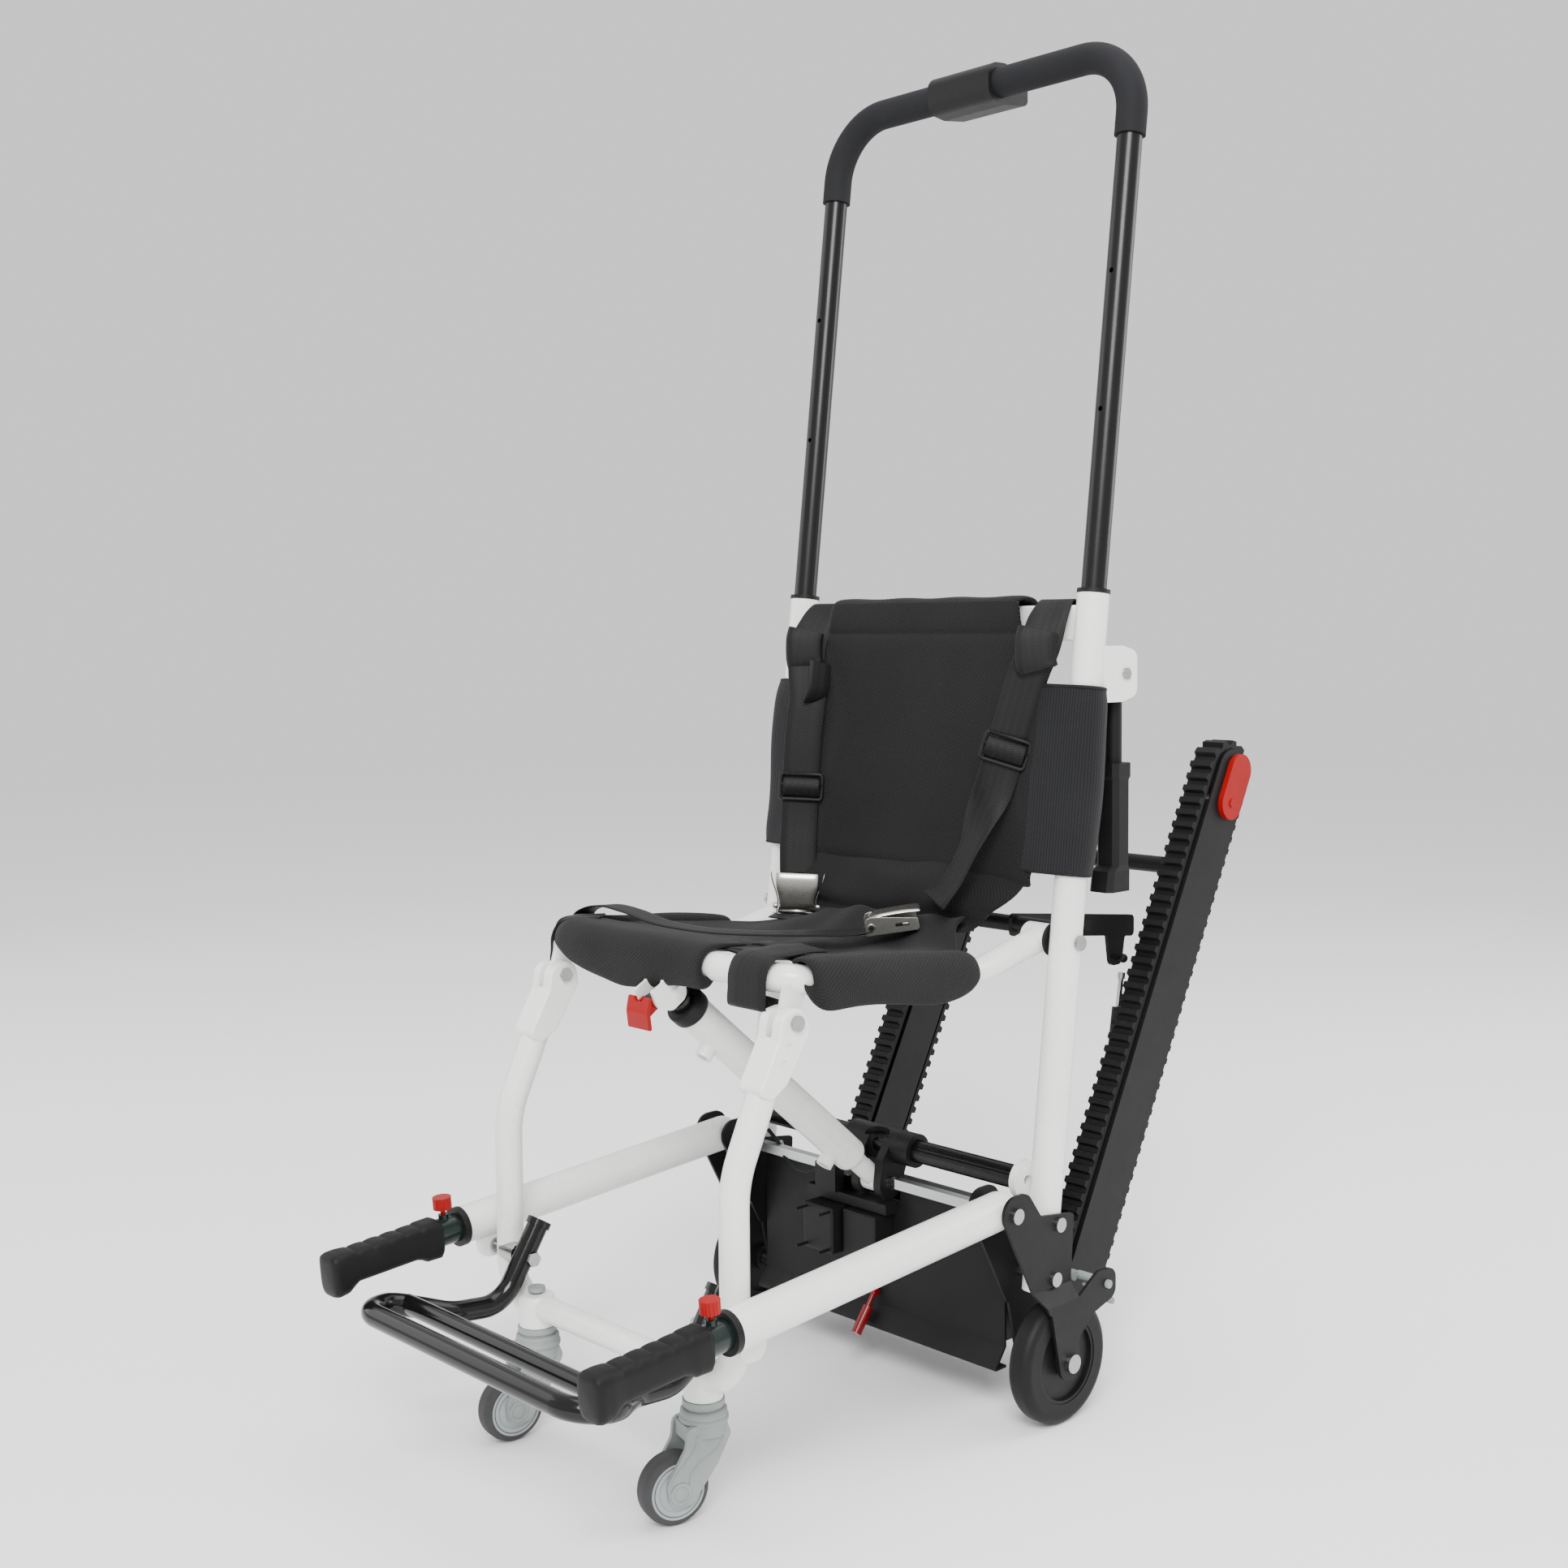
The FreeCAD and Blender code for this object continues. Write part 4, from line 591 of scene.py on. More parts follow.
def joined(name, *pieces):
    """One object from several; the first one's name and materials lead."""
    base = pieces[0]
    work = bmesh.new()
    slots = []
    for piece in pieces:
        offset = len(slots)
        slots.extend(piece.data.materials)
        start = len(work.faces)
        work.from_mesh(piece.data)
        work.faces.ensure_lookup_table()
        for face in work.faces[start:]:
            face.material_index += offset
    mesh = finished_mesh(name, work)
    for material in slots:
        mesh.materials.append(material)
    for piece in pieces[1:]:
        bpy.data.objects.remove(piece)
    base.data = mesh
    base.name = name
    return base


def wrinkle(piece, amount, size, seed):
    """Push points along their normals by smooth noise."""
    mesh = piece.data
    normals = [vertex.normal.copy() for vertex in mesh.vertices]
    for vertex, normal in zip(mesh.vertices, normals):
        spot = vertex.co / size + Vector((seed, seed * 1.7, seed * 0.3))
        vertex.co += normal * amount * noise.noise(spot)
    mesh.update()


# ---- seat sling ----------------------------------------------------
def seat_line(y):
    """Height in millimetres of the side tube's centre line at y."""
    if y > BEND_Y:
        return BEND_Z + (y - BEND_Y) / REAR_RUN * REAR_RISE
    return BEND_Z + (BEND_Y - y) / FRONT_RUN * FRONT_RISE


def eased(value):
    """Smooth step from 0 to 1."""
    value = min(1.0, max(0.0, value))
    return value * value * (3 - 2 * value)


def cloth(name, rows, material, crease, thickness, levels):
    """Sheet through rows of points, creased by noise; crease is (amount, size, seed) or None."""
    piece = grid(name, rows, material)
    if crease:
        wrinkle(piece, *crease)
    return thicken(piece, thickness, levels)


def seat_middle():
    """Mesh between the side tubes: narrow at the back, sagging in the middle, with a limp rear corner."""
    stations = [-8, -20, -38, -56, -76, -98, -125, -160, -200, -240, -280, -315, -340, -352]
    rows = []
    for y in stations:
        half = 196 - 66 * eased((y + 104) / 88) ** 0.8
        edge = seat_line(y) + TUBE_R + 2 + 10 * eased((y + 90) / 70)
        sag = 15 * math.sin(math.pi * min(1.0, max(0.0, (-y - 4) / 352))) ** 0.8
        row = []
        for k in range(25):
            share = k / 12 - 1
            droop = 15 * math.exp(-((half * share + 135) / 48) ** 2 - ((y + 20) / 34) ** 2)
            ripple = 2.5 * math.sin(k * 1.1 + y * 0.03)
            row.append(at(half * share, y, edge - droop - sag * (1 - share ** 2) + ripple))
        rows.append(row)
    return cloth("seat_sling_fabric", rows, MESH, (0.007, 0.1, 3.1), 0.0045, 2)


def side_roll(sign, seed):
    """Mesh wrapped over a side tube, with a hem that hangs outside it by a varying depth."""
    hems = ((-100, 6), (-103, 16), (-114, 24), (-148, 33), (-200, 31), (-252, 25), (-300, 31),
            (-331, 34), (-350, 22), (-358, 4))
    edge = SEAT_TUBE_X + CLOTH_OVER
    rows = []
    for y, hem in hems:
        z = seat_line(y) + 1
        puff = 3.5 * eased((hem - 4) / 20)
        radius = CLOTH_OVER + puff
        row = [(190, z + CLOTH_OVER - 5), (198, z + radius)]
        for angle in (70, 45, 20, 0):
            turn = math.radians(angle)
            row.append((SEAT_TUBE_X + radius * math.cos(turn), z + radius * math.sin(turn)))
        row += [(edge + puff * 0.6, z - hem * 0.45), (edge - 3, z - hem * 0.85), (edge - 8, z - hem),
                (edge - 13, z - hem * 0.96), (edge - 15, z - hem * 0.7)]
        rows.append([at(sign * x, y, height) for x, height in row])
    return cloth("side_roll", rows, MESH, (0.0045, 0.055, seed), 0.0045, 2)


def front_roll():
    """Mesh wrapped over the front tube and part of the way round its right corner."""
    hems = ((84, 10, 0), (80, 22, 0), (70, 27, 0), (39, 24, 0), (-9, 33, 0), (-64, 42, 0), (-92, 36, 0),
            (-130, 29, 0), (-CORNER_X, 24, 0), (-CORNER_X, 19, 10), (-CORNER_X, 12, 19), (-CORNER_X, 4, 24))
    rows = []
    for x, hem, turn in hems:
        bend = math.radians(turn)
        out = Vector((-math.sin(bend), -math.cos(bend), 0))
        centre = Vector((x, CORNER_Y, 0)) + out * CORNER_R
        puff = 3.0 * eased((hem - 4) / 18)
        radius = CLOTH_OVER + puff
        row = [(-50, CLOTH_OVER - 2), (-24, CLOTH_OVER), (-8, CLOTH_OVER + puff * 0.7)]
        for angle in (75, 50, 25, 0):
            lift = math.radians(angle)
            row.append((radius * math.cos(lift), radius * math.sin(lift)))
        row += [(CLOTH_OVER + puff * 0.5, -hem * 0.45), (CLOTH_OVER - 4, -hem * 0.85), (CLOTH_OVER - 9, -hem),
                (CLOTH_OVER - 14, -hem * 0.95), (CLOTH_OVER - 16, -hem * 0.7)]
        rows.append([at(centre.x + out.x * reach, centre.y + out.y * reach, FRONT_Z + 0.5 + height)
                     for reach, height in row])
    return cloth("front_roll", rows, MESH, (0.0045, 0.055, 5.2), 0.0045, 2)


def build_seat():
    piece = joined("seat_sling_fabric", seat_middle(), side_roll(1, 4.4), side_roll(-1, 8.3), front_roll())
    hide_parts("seat_sling")
    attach(piece, "seat_frame")
    rows = [[at(96 + 9 * k - 0.35 * (y + 345), y, seat_line(y) + TUBE_R + 8 + 1.2 * math.sin(k))
             for k in range(6)] for y in (-318, -300, -282)]
    tab = cloth("strap_patch", rows, WEBBING, None, 0.0022, 0)
    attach(tab, "seat_frame")


# ---- back sling ----------------------------------------------------
def back_panel():
    """Slack panel between the uprights, with a stitched line near its top and its foot turned in."""
    sides = ((957, 155), (952, 158), (938, 160), (922, 163), (917, 165), (912, 168), (895, 180),
             (870, 196), (840, 206), (800, 208), (760, 208), (720, 208), (690, 208), (664, 208),
             (648, 208), (638, 206), (631, 205), (626, 204))
    rows = []
    for z, half in sides:
        row = []
        slack = 0.0 if z > 900 else math.sin(math.pi * min(1, (900 - z) / 285)) ** 0.7
        for step in range(25):
            share = step / 12 - 1
            front = -28.5
            if z > 925:
                front -= 2.5
            if abs(z - 917) < 1.5:
                front += 6.0
            if z < 634:
                front += 0.9 * (634 - z)
            lift = 6 * share if z < 650 else 0
            row.append(lean_at(share * half, z - lift, front + 13 * slack * (1 - share ** 2)))
        rows.append(row)
    return cloth("back_sling_fabric", rows, MESH_BACK, (0.004, 0.12, 9.4), 0.006, 2)


def top_fold():
    """Cloth folded back over the upper cross tube."""
    route = ((-31, 952), (-27, 958), (-16, 961), (-3, 961), (7, 958), (13, 948), (14, 925), (11, 905))
    rows = [[lean_at(157 * (k / 12 - 1), z + 0.8 * math.sin(k * 0.9), behind) for k in range(25)]
            for behind, z in route]
    return cloth("top_fold", rows, MESH_BACK, None, 0.005, 1)


def wing_parts(sign):
    """Cloth wrapped round an upright, and the bound edges at its ends."""
    ahead = ((184, -24), (200, -30.5), (214, -31), (226, -27))
    rows = []
    for z in (640, 643, 660, 690, 730, 770, 810, 838, 852, 856):
        bulge = 24.5 + 2.0 * math.sin(z * 0.035 + sign) + (2 if 650 < z < 848 else -1)
        row = [lean_at(sign * x, z, behind) for x, behind in ahead]
        for angle in range(-66, 86, 19):
            turn = math.radians(angle)
            row.append(lean_at(sign * (243 + bulge * math.cos(turn)), z, bulge * math.sin(turn)))
        rear = ((230, 26), (212, 18), (196, 4)) if z < 834 else ((243, 24.5), (241, 23.5), (240, 22.5))
        row += [lean_at(sign * x, z, behind) for x, behind in rear]
        rows.append(row)
    bindings = [tube("binding", [point.copy() for point in rows[end][1:12]], 0.0022, EDGE_TAPE, 8, 4)
                for end in (0, -1)]
    return [cloth("wing", rows, MESH_WING, (0.0025, 0.07, 2.2 + sign), 0.0045, 2)] + bindings


def build_back():
    piece = joined("back_sling_fabric", back_panel(), top_fold(), *wing_parts(-1), *wing_parts(1))
    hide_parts("back_sling")
    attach(piece, "rear_frame")


def build_skirt():
    """Fabric that runs from the back sling's lower seam down to the seat, over the fold hinge."""
    track = ((27, 645, 204, 202), (24, 636, 203, 200), (18, 629, 201, 198), (10, 621, 199, 195),
             (3, 610, 195, 187), (-1, 599, 190, 174), (0, 590, 184, 160), (6, 583, 178, 150),
             (4, 575, 172, 142), (-8, 568, 166, 136), (-22, 567, 160, 132))
    rows = []
    for y, z, left, right in track:
        row = []
        for k in range(25):
            share = k / 24
            x = -left + (left + right) * share
            belly = math.sin(math.pi * share)
            drop = 7 * belly if z < 615 else 0
            ahead = 6 * belly if z < 640 else 0
            wave = 3 * math.sin(share * 9 + z * 0.1) if z < 625 else 0
            row.append(at(x, y - ahead + wave, z - drop))
        rows.append(row)
    skirt = cloth("sling_skirt", rows, MESH_BACK, (0.005, 0.06, 6.1), 0.004, 1)
    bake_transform(skirt)


# ---- harness -------------------------------------------------------
FACING = (0.74, 0.67, 0)    # direction of the shoulder webbing's width
SHOULDER_WIDTH, LAP_WIDTH = 0.048, 0.034
STRAP_THICKNESS = 0.0016


def tri_glide(name, origin, along, facing, width):
    """Flat three-bar slider for webbing."""
    place = frame_at(origin, along, facing)
    half_wide, half_long, corner = width / 2 + 0.003, 0.0165, 0.004
    outline = []
    for way_x, way_y, turn in ((1, -1, -90), (1, 1, 0), (-1, 1, 90), (-1, -1, 180)):
        for step in range(4):
            angle = math.radians(turn + 30 * step)
            outline.append(place @ Vector((way_x * (half_wide - corner) + corner * math.cos(angle),
                                           way_y * (half_long - corner) + corner * math.sin(angle), 0)))
    outline.append(outline[0].copy())
    loop = tube("loop", outline, 0.0026, BLACK_PLASTIC, 10, 1)
    ends = [place @ Vector((way * half_wide, -0.003, 0.001)) for way in (-1, 1)]
    bar = tube("bar", ends, 0.0024, BLACK_PLASTIC, 10, 1)
    hump = ((-0.0125, -0.001), (-0.008, 0.0035), (-0.002, 0.0055), (0.004, 0.0045), (0.009, 0.0015),
            (0.013, -0.001))
    rows = [[place @ Vector((width / 2 * (k / 4 - 1), y, z)) for k in range(9)] for y, z in hump]
    return joined(name, loop, bar, cloth("fold", rows, WEBBING, None, STRAP_THICKNESS, 1))


def plate_mesh(name, outline, thickness, place, material):
    """Flat plate: outline of (y, z) points, extruded both ways along X."""
    work = bmesh.new()
    near = [work.verts.new(place @ Vector((-thickness / 2, y, z))) for y, z in outline]
    far = [work.verts.new(place @ Vector((thickness / 2, y, z))) for y, z in outline]
    work.faces.new(list(reversed(near)))
    work.faces.new(far)
    for i in range(len(outline)):
        k = (i + 1) % len(outline)
        work.faces.new((near[i], near[k], far[k], far[i]))
    bmesh.ops.recalc_face_normals(work, faces=work.faces)
    round_edges(work, thickness * 0.22, 2)
    return add_object(name, finished_mesh(name, work), material, smooth=False)


def pin_mesh(name, place, radius, half, material):
    """Short pin along the local X axis, slightly domed at both ends."""
    turned = place @ Matrix.Rotation(math.radians(90), 4, "Y")
    profile = [(0.0001, -half), (radius * 0.8, -half), (radius, -half * 0.75), (radius, half * 0.75),
               (radius * 0.8, half), (0.0001, half)]
    return lathe(name, profile, turned, material, 18)


def front_buckle(name, origin, along, facing, width, length):
    """Lift-lever buckle seen from its flap side: waisted flap, flared side rails, pins and roller."""
    place = frame_at(origin, along, facing)
    tray = place @ Matrix.Translation((0, 0, 0.001))
    parts = [box_mesh("tray", (width * 0.78, length * 0.96, 0.002), tray, NICKEL, 0.0008)]
    waist = ((0.52, 0.625), (0.34, 0.605), (0.1, 0.525), (-0.14, 0.445), (-0.3, 0.435), (-0.42, 0.475),
             (-0.54, 0.455), (-0.66, 0.44))
    for sign in (-1, 1):
        rows = [[place @ Vector((sign * width * side, length * y, z)) for z in (0.0, 0.005, 0.0115)]
                for y, side in waist]
        parts.append(cloth("rail", rows, NICKEL, None, 0.0016, 1))
        for y, z in ((-0.37, 0.008), (-0.62, 0.006)):
            pin = place @ Matrix.Translation((sign * width * 0.49, length * y, z))
            parts.append(pin_mesh("pin", pin, 0.0038, 0.0032, NICKEL))
    rows = []
    for step in range(15):
        t = step / 14
        half = width * (0.5 - 0.085 * eased((t - 0.3) / 0.45))
        z = 0.015 - 0.003 * t + 0.0018 * math.sin(math.pi * t)
        if t < 0.1:
            z -= 0.0022 * (1 - t * 10)
        if t > 0.9:
            z -= 0.004 * (t - 0.9) * 10
        y = length * (0.5 - 0.96 * t)
        rows.append([place @ Vector((half * (k / 8 - 1), y, z - 0.0018 * (k / 8 - 1) ** 8))
                     for k in range(17)])
    parts.append(cloth("flap", rows, NICKEL, None, 0.0018, 1))
    for y in (-0.5, -0.64):
        ends = [place @ Vector((way * width * 0.43, length * y, 0.006)) for way in (-1, 1)]
        parts.append(tube("roller", ends, 0.003, NICKEL, 14, 1))
    return joined(name, *parts)


def side_buckle(name, origin, along, facing, width, length):
    """The same kind of buckle lying on its back: tall walls with a rivet and a slot, and the flap above."""
    place = frame_at(origin, along, facing)
    wall = ((-0.5, 0.000), (0.47, 0.001), (0.5, 0.0035), (0.485, 0.0155), (0.1, 0.019), (-0.38, 0.0225),
            (-0.46, 0.021), (-0.5, 0.016))
    places = ((0.001, -0.39, 0.0105), (0.0016, -0.39, 0.0105), (0.0009, 0.19, 0.01), (0.0011, 0.25, 0.01))
    tray = place @ Matrix.Translation((0, 0, 0.0012))
    parts = [box_mesh("tray", (width * 0.94, length * 0.96, 0.002), tray, NICKEL, 0.0008)]
    for sign in (-1, 1):
        side = place @ Matrix.Translation((sign * width * 0.5, 0, 0))
        rivet, bore, slot, bar = (side @ Matrix.Translation((sign * out, length * y, z))
                                  for out, y, z in places)
        parts.append(plate_mesh("wall", [(length * y, z) for y, z in wall], 0.0018, side, NICKEL))
        parts.append(pin_mesh("rivet", rivet, 0.0046, 0.001, ZINC))
        # The bore and the slot are painted shade: dark inserts where the rivet's hollow and the slot's
        # opening fall into shadow.
        parts.append(pin_mesh("painted_shade_bore", bore, 0.0026, 0.0008, BLACK_PLASTIC))
        parts.append(box_mesh("slot", (0.001, 0.0165, 0.0042), slot, BLACK_PLASTIC, 0.0004))
        parts.append(box_mesh("slot_bar", (0.0012, 0.0075, 0.0028), bar, NICKEL, 0.0005))
    rows = []
    for step in range(11):
        t = step / 10
        z = 0.0232 + 0.003 * t + 0.0012 * math.sin(math.pi * t) - 0.004 * max(1 - t * 8, 0)
        half = width * (0.52 + 0.08 * eased((t - 0.6) / 0.4))
        y = length * (-0.42 + 0.98 * t)
        rows.append([place @ Vector((half * (k / 6 - 1), y, z - 0.003 * (k / 6 - 1) ** 6))
                     for k in range(13)])
    parts.append(cloth("flap", rows, NICKEL, None, 0.0018, 1))
    tongue = place @ Matrix.Translation((width * 0.1, -length * 0.6, 0.001))
    parts.append(box_mesh("tongue", (width * 0.6, length * 0.26, 0.0018), tongue, NICKEL, 0.0006))
    return joined(name, *parts)


def route(*spots):
    """Points given in millimetres."""
    return [at(*spot) for spot in spots]


def harness_strap(name, points, across, width, body, thickness=STRAP_THICKNESS):
    piece = strap(name, points, across, width, thickness)
    if body:
        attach(piece, body)
    return piece


def build_shoulder_straps(normal):
    """Webbing from over the upper cross tube down to the buckles, with its sliders, keepers and tail."""
    over_tube = [(1, 0, 0)] * 3 + [(1, 0.1, 0), (0.9, 0.4, 0)]
    left = [lean_at(-190, 925, 14), lean_at(-190, 948, 15), lean_at(-190, 957, 4), lean_at(-190, 957, -10)]
    left += route((-187, 55, 940), (-180, 32, 912), (-176, 22, 880), (-168, 16, 840), (-170, 10, 790),
                  (-172, 6, 730), (-171, 2, 680), (-168, -4, 640), (-164, -8, 608))
    harness_strap("shoulder_strap_left", left, over_tube + [FACING] * 8, SHOULDER_WIDTH, "rear_frame")
    right = [lean_at(196, 925, 14), lean_at(196, 948, 15), lean_at(196, 957, 4), lean_at(197, 957, -10)]
    right += route((202, 52, 938), (204, 34, 905), (192, 28, 872), (182, 24, 838), (168, 19, 790),
                   (153, 12, 738), (141, 3, 705), (131, -9, 666), (117, -24, 626), (103, -40, 604))
    twist = [(0.86, 0.5, 0), (0.97, 0.1, 0), (0.95, -0.33, 0), (0.95, -0.33, 0), (0.9, -0.1, -0.2)]
    across = over_tube + [FACING] * 4 + twist
    piece = harness_strap("shoulder_strap_right", right, across, SHOULDER_WIDTH, None)
    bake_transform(piece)
    for name, origin, along in (("slider_left", at(-170, 5, 722) + normal * 0.002, (0, -0.08, -1)),
                                ("slider_right", at(166, 17, 783) + normal * 0.002, (-0.28, -0.16, -1))):
        slider = tri_glide(name, origin, along, normal, SHOULDER_WIDTH)
        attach(slider, "rear_frame")
    for name, x, y in (("keeper_left", -178, 26), ("keeper_right", 204, 33)):
        points = [at(x, y - ahead, z) for ahead, z in ((1, 925), (5, 914), (6, 900), (5, 886), (2, 878))]
        harness_strap(name, points, [FACING] * 5, SHOULDER_WIDTH, "rear_frame", thickness=0.007)
    loop = route((-158, 30, 884), (-154, 24, 868), (-152, 20, 850), (-156, 18, 838), (-162, 20, 832))
    harness_strap("strap_tail_left", loop, [(0.3, 0.95, 0)] * 5, 0.03, "rear_frame")


def build_buckles(normal):
    buckle = front_buckle("back_buckle_detail", at(-153, -20, 588), (0, 0.06, 1), normal, 0.056, 0.05)
    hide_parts("back_buckle")
    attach(buckle, "rear_frame")
    lower = route((-154, -19, 574), (-153, -21, 566), (-151, -26, 560), (-148, -40, 560), (-142, -58, 558))
    harness_strap("buckle_tail", lower, [FACING] * 5, 0.042, "rear_frame")
    buckle = side_buckle("seat_buckle_detail", at(60, -66, 566.5), (0.684, 0.722, 0.115),
                         (-0.03, -0.1, 1), 0.034, 0.064)
    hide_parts("seat_buckle")
    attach(buckle, "seat_frame")


def build_lap_and_leg_straps():
    """The lap belt laid over the seat, and a strap folded over the seat tube at each front corner."""
    lap = route((-229, -312, 552), (-230, -312, 572), (-221, -310, 589), (-190, -304, 598),
                (-150, -296, 594), (-95, -292, 585), (-45, -262, 578), (-10, -205, 572), (12, -150, 568),
                (30, -112, 567), (42, -88, 569))
    across = [(0, 1, 0)] * 3 + [(0.05, 1, -0.06)] * 2
    across += [(-0.1, 1, -0.05), (-0.45, 0.85, -0.02), (-0.75, 0.6, 0), (-0.85, 0.45, 0.05),
               (-0.8, 0.55, 0.1), (-0.75, 0.62, 0.1)]
    harness_strap("lap_strap", lap, across, LAP_WIDTH, "seat_frame")
    over = CLOTH_OVER
    fold = ((-62, over + 3), (-38, over + 4), (-18, over + 3), (0, over + 2), (13, 16), (over, 2),
            (over + 1, -14), (over + 2, -24), (over + 1, -31), (13, -34), (4, -31), (-3, -22))
    points = [at(156 - 0.25 * min(reach, 0), FRONT_Y - reach, FRONT_Z + height) for reach, height in fold]
    harness_strap("leg_strap_right", points, [(1, 0, 0)] * 12, 0.06, "seat_frame",
                  0.0025)
    turn = math.radians(50)
    out = Vector((-math.sin(turn), -math.cos(turn), 0))
    side = Vector((math.cos(turn), -math.sin(turn), 0))
    centre = at(-CORNER_X - CORNER_R * math.sin(turn), CORNER_Y - CORNER_R * math.cos(turn), FRONT_Z)
    points = [centre + out * reach * MM + Vector((0, 0, height * MM)) for reach, height in fold[1:10]]
    harness_strap("leg_strap_left", points, [side] * 9, LAP_WIDTH, "seat_frame",
                  0.0025)


def build_harness():
    normal = Vector((FACING[1], -FACING[0], 0.12))
    build_shoulder_straps(normal)
    build_buckles(normal)
    build_lap_and_leg_straps()


# ---- fine parts of the frame ---------------------------------------
COLLAR_AT = 392                      # along the strut from its foot pin, millimetres
CASTER_X, CASTER_Y = 147.5, -449.5   # a caster's stem, millimetres
WHEEL_AXLE = Vector((0, -0.037, 0.038))
GRIP_X = 238                         # a front grip's centre line, millimetres
GRIP_SIDES = 40


def ride_part(piece, body):
    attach(piece, body)


def build_frame_details():
    """A ring at the strut's collar and a bush on each seat pivot."""
    foot, top = at(0, -35.5, 243), at(0, -365.5, 529)
    line = (top - foot).normalized()
    profile = [(0.0212, 0), (0.0232, 0.001), (0.0236, 0.004), (0.0236, 0.014), (0.0228, 0.0165),
               (0.015, 0.017)]
    place = axis_matrix(foot + line * COLLAR_AT * MM, line)
    ring = lathe("strut_collar_ring", profile, place, BLACK_PLASTIC, 48)
    ride_part(ring, "strut_tube")
    profile = [(0.01, 0), (0.019, 0.0003), (0.02, 0.0012), (0.02, 0.0028), (0.0185, 0.0036),
               (0.0105, 0.0036)]
    for side, label in ((1, "left"), (-1, "right")):
        place = axis_matrix(at(side * 222.2, 34.7, 562), (side, 0, 0))
        bush = lathe("seat_pivot_bush_" + label, profile, place, BLACK_PLASTIC, 40)
        ride_part(bush, "seat_frame")


def caster_place(side, turn):
    """Frame of a caster: X along its wheel's axle, origin on the floor under its stem."""
    stem = at(side * CASTER_X, CASTER_Y, 0)
    return Matrix.Translation(stem) @ Matrix.Rotation(math.radians(turn), 4, "Z")


def build_caster_details():
    """Moulded rings on the wheels' discs, and caps, ridges and a neck on the forks."""
    disc = [(0.0308, 0.0118), (0.0305, 0.0136), (0.0296, 0.0143), (0.0276, 0.0145), (0.0271, 0.0136),
            (0.0266, 0.0136), (0.0261, 0.0146), (0.0215, 0.0149), (0.0211, 0.0141), (0.0206, 0.0141),
            (0.0201, 0.015), (0.0001, 0.015)]
    cap = [(0.0122, 0), (0.012, 0.0012), (0.0112, 0.002), (0.0088, 0.0022), (0.0084, 0.0016),
           (0.008, 0.0016), (0.0076, 0.0024), (0.0001, 0.0026)]
    neck = [(0.0252, 0), (0.0264, 0.0012), (0.0264, 0.005), (0.025, 0.0062), (0.0236, 0.0066),
            (0.0236, 0.0082), (0.0248, 0.009), (0.0248, 0.0122), (0.023, 0.0134), (0.0216, 0.014)]
    ridges = (((14, 98), (12, 88), (2, 76), (-14, 68), (-24, 58), (-27, 47)),
              ((-18, 96), (-20, 84), (-31, 71), (-43, 58), (-49, 46), (-48, 35)))
    for side, turn, label in ((1, -15.0, "left"), (-1, -8.0, "right")):
        place = caster_place(side, turn)
        discs = [lathe("disc", disc, place @ axis_matrix(WHEEL_AXLE, (way, 0, 0)), HUB_GREY, 56)
                 for way in (-1, 1)]
        ride_part(joined("caster_hub_discs_" + label, *discs), "caster_" + label)
        fine = []
        for way in (-1, 1):
            outer = place @ axis_matrix(WHEEL_AXLE + Vector((way * 0.0203, 0, 0)), (way, 0, 0))
            fine.append(lathe("cap", cap, outer, GREY_PLASTIC, 36))
            for ridge in ridges:
                line = [place @ Vector((way * 0.0205, y * MM, z * MM)) for y, z in ridge]
                fine.append(tube("ridge", line, 0.0011, GREY_PLASTIC, 10, 6))
        fine.append(lathe("neck", neck, place @ Matrix.Translation((0, 0, 0.104)), GREY_PLASTIC, 56))
        ride_part(joined("caster_fork_detail_" + label, *fine), "fork_" + label)


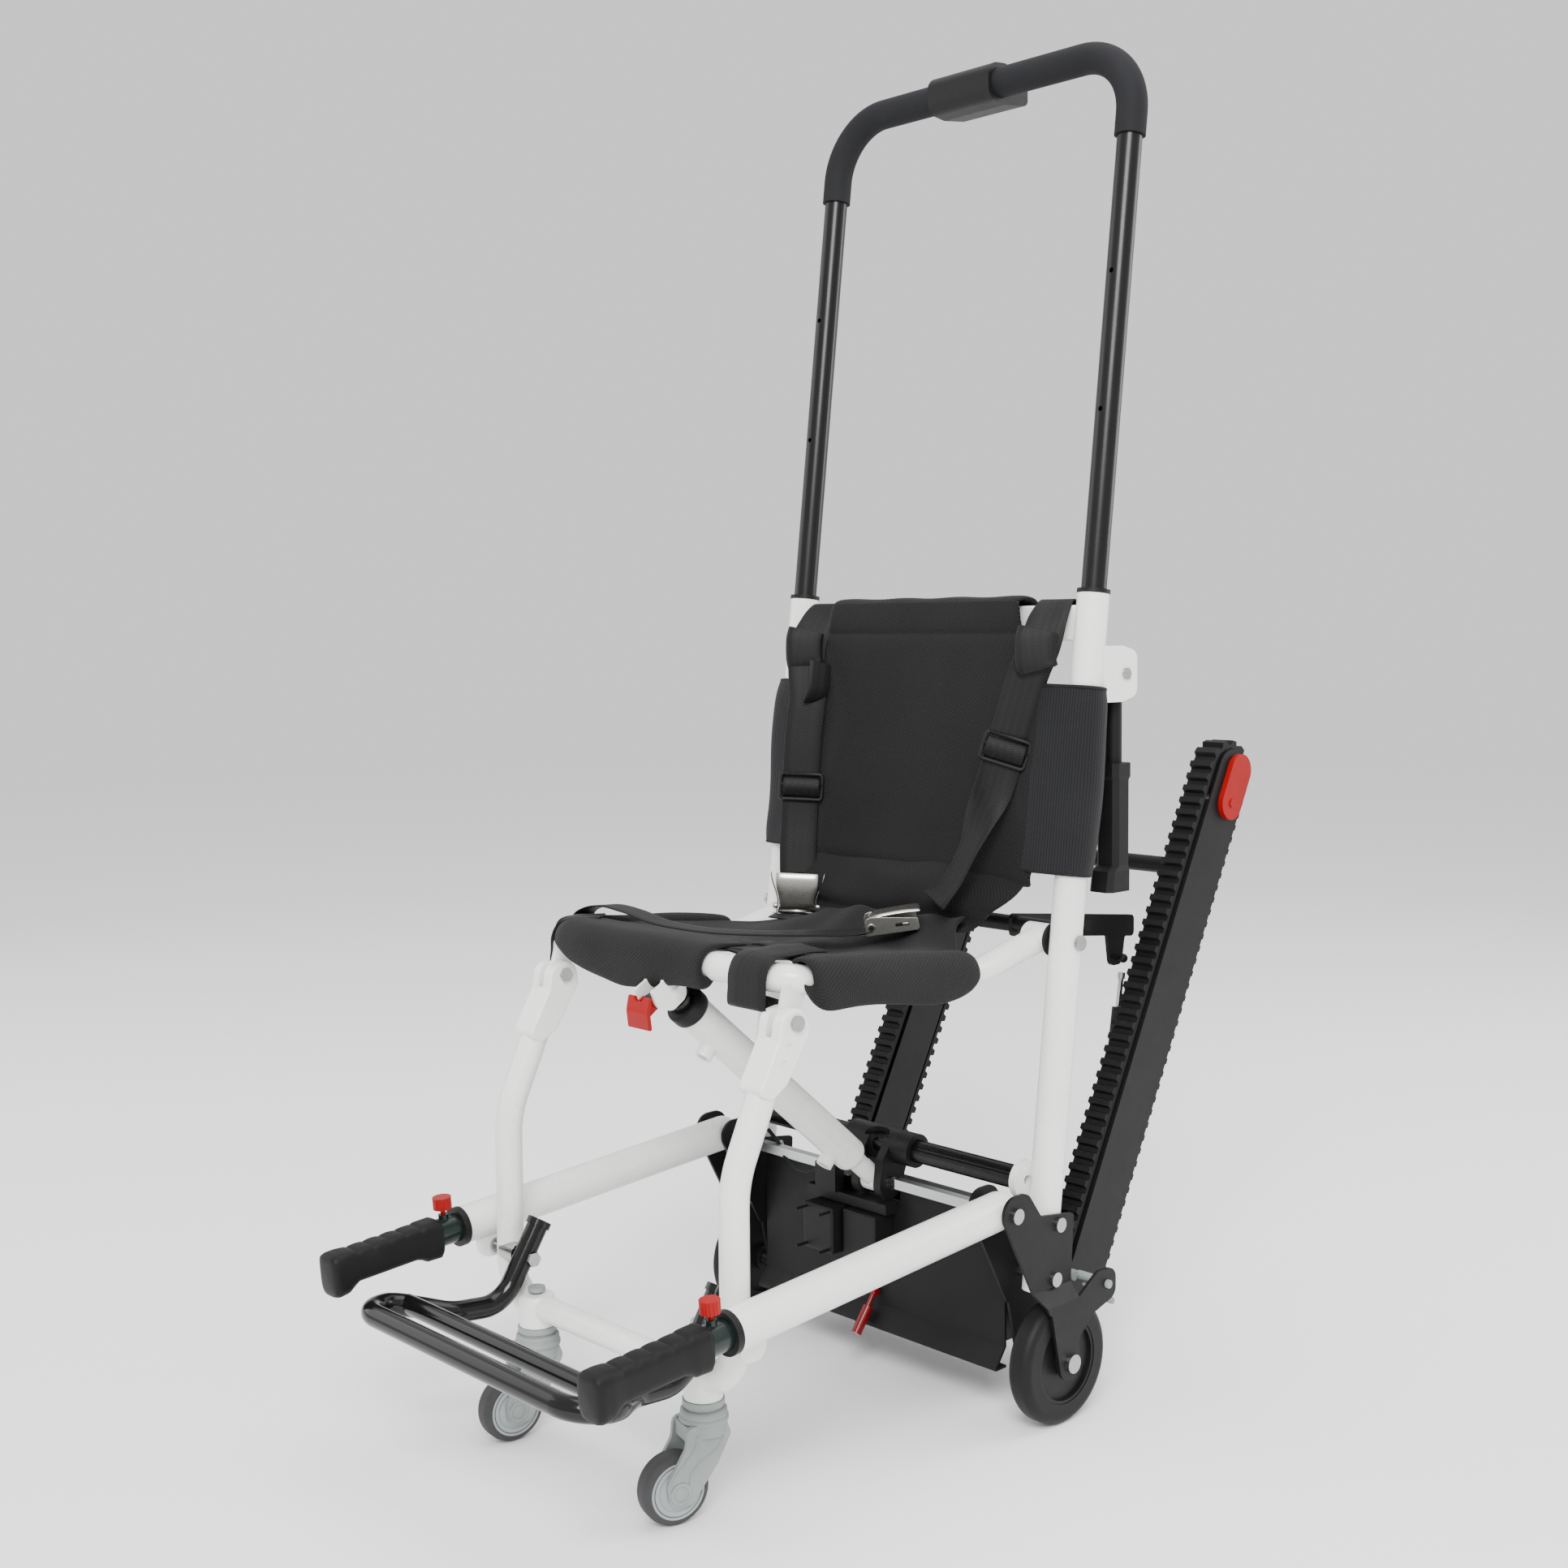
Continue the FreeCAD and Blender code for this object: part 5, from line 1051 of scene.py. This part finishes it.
def grip_section(distance):
    """Half width, top and bottom of a front grip in millimetres, at a distance along the rail's line."""
    stations = ((33, 13, 14, -15), (35, 17.4, 18.6, -22), (38, 18.6, 20, -26), (56, 18.6, 20, -25),
                (62, 18.0, 19.6, -21), (70, 17.4, 19.2, -18.5), (146, 17.4, 19.2, -18.5),
                (153, 18.2, 19.8, -23), (160, 19.2, 20.4, -28), (172, 19.2, 20.2, -29.5),
                (177, 17.6, 18.6, -27.5), (179, 12, 12, -19))
    k = 0
    while k < len(stations) - 2 and stations[k + 1][0] < distance:
        k += 1
    low, high = stations[k], stations[k + 1]
    share = (distance - low[0]) / (high[0] - low[0])
    half, top, bottom = (low[i] + (high[i] - low[i]) * share for i in (1, 2, 3))
    if 58 < distance < 152:
        phase = (distance - 62) / 21.0
        groove = math.exp(-((phase - round(phase)) * 21 / 1.5) ** 2)
        top += 0.35 * math.cos(math.tau * (phase - 0.5)) - 1.5 * groove
    return half, top, bottom


def squared(value):
    """Cosine or sine drawn out, so that a round section becomes a rounded square."""
    return math.copysign(abs(value) ** 0.5, value)


def build_front_grips():
    """Squarish rubber grips with a guard at each end and finger grooves on top."""
    pivot, front = at(0, -82, 265), at(0, -491, 233.4)
    ahead = (front - pivot).normalized()
    above = Vector((0, ahead.z, -ahead.y))
    distances = sorted({33, 34, 35, 36, 38, 177, 178, 179} | {40 + 2.25 * k for k in range(61)})
    for side, label in ((1, "left"), (-1, "right")):
        rows = []
        for distance in distances:
            half, top, bottom = grip_section(distance)
            row = []
            for step in range(GRIP_SIDES):
                turn = math.tau * step / GRIP_SIDES
                across = squared(math.cos(turn)) * half
                height = squared(math.sin(turn))
                height *= top if height > 0 else -bottom
                sideways = Vector((side * GRIP_X * MM + across * MM, 0, 0))
                row.append(front + sideways + ahead * distance * MM + above * height * MM)
            rows.append(row)
        grip = grid("front_grip_cover_" + label, rows, GRIP, closed=True)
        cap_ends(grip, len(rows), GRIP_SIDES)
        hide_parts("front_grip_" + label)
        ride_part(grip, "front_handle_" + label)


build_camera()
build_stage()
dress_nodes()
build_seat()
build_back()
build_skirt()
build_harness()
build_frame_details()
build_caster_details()
build_front_grips()
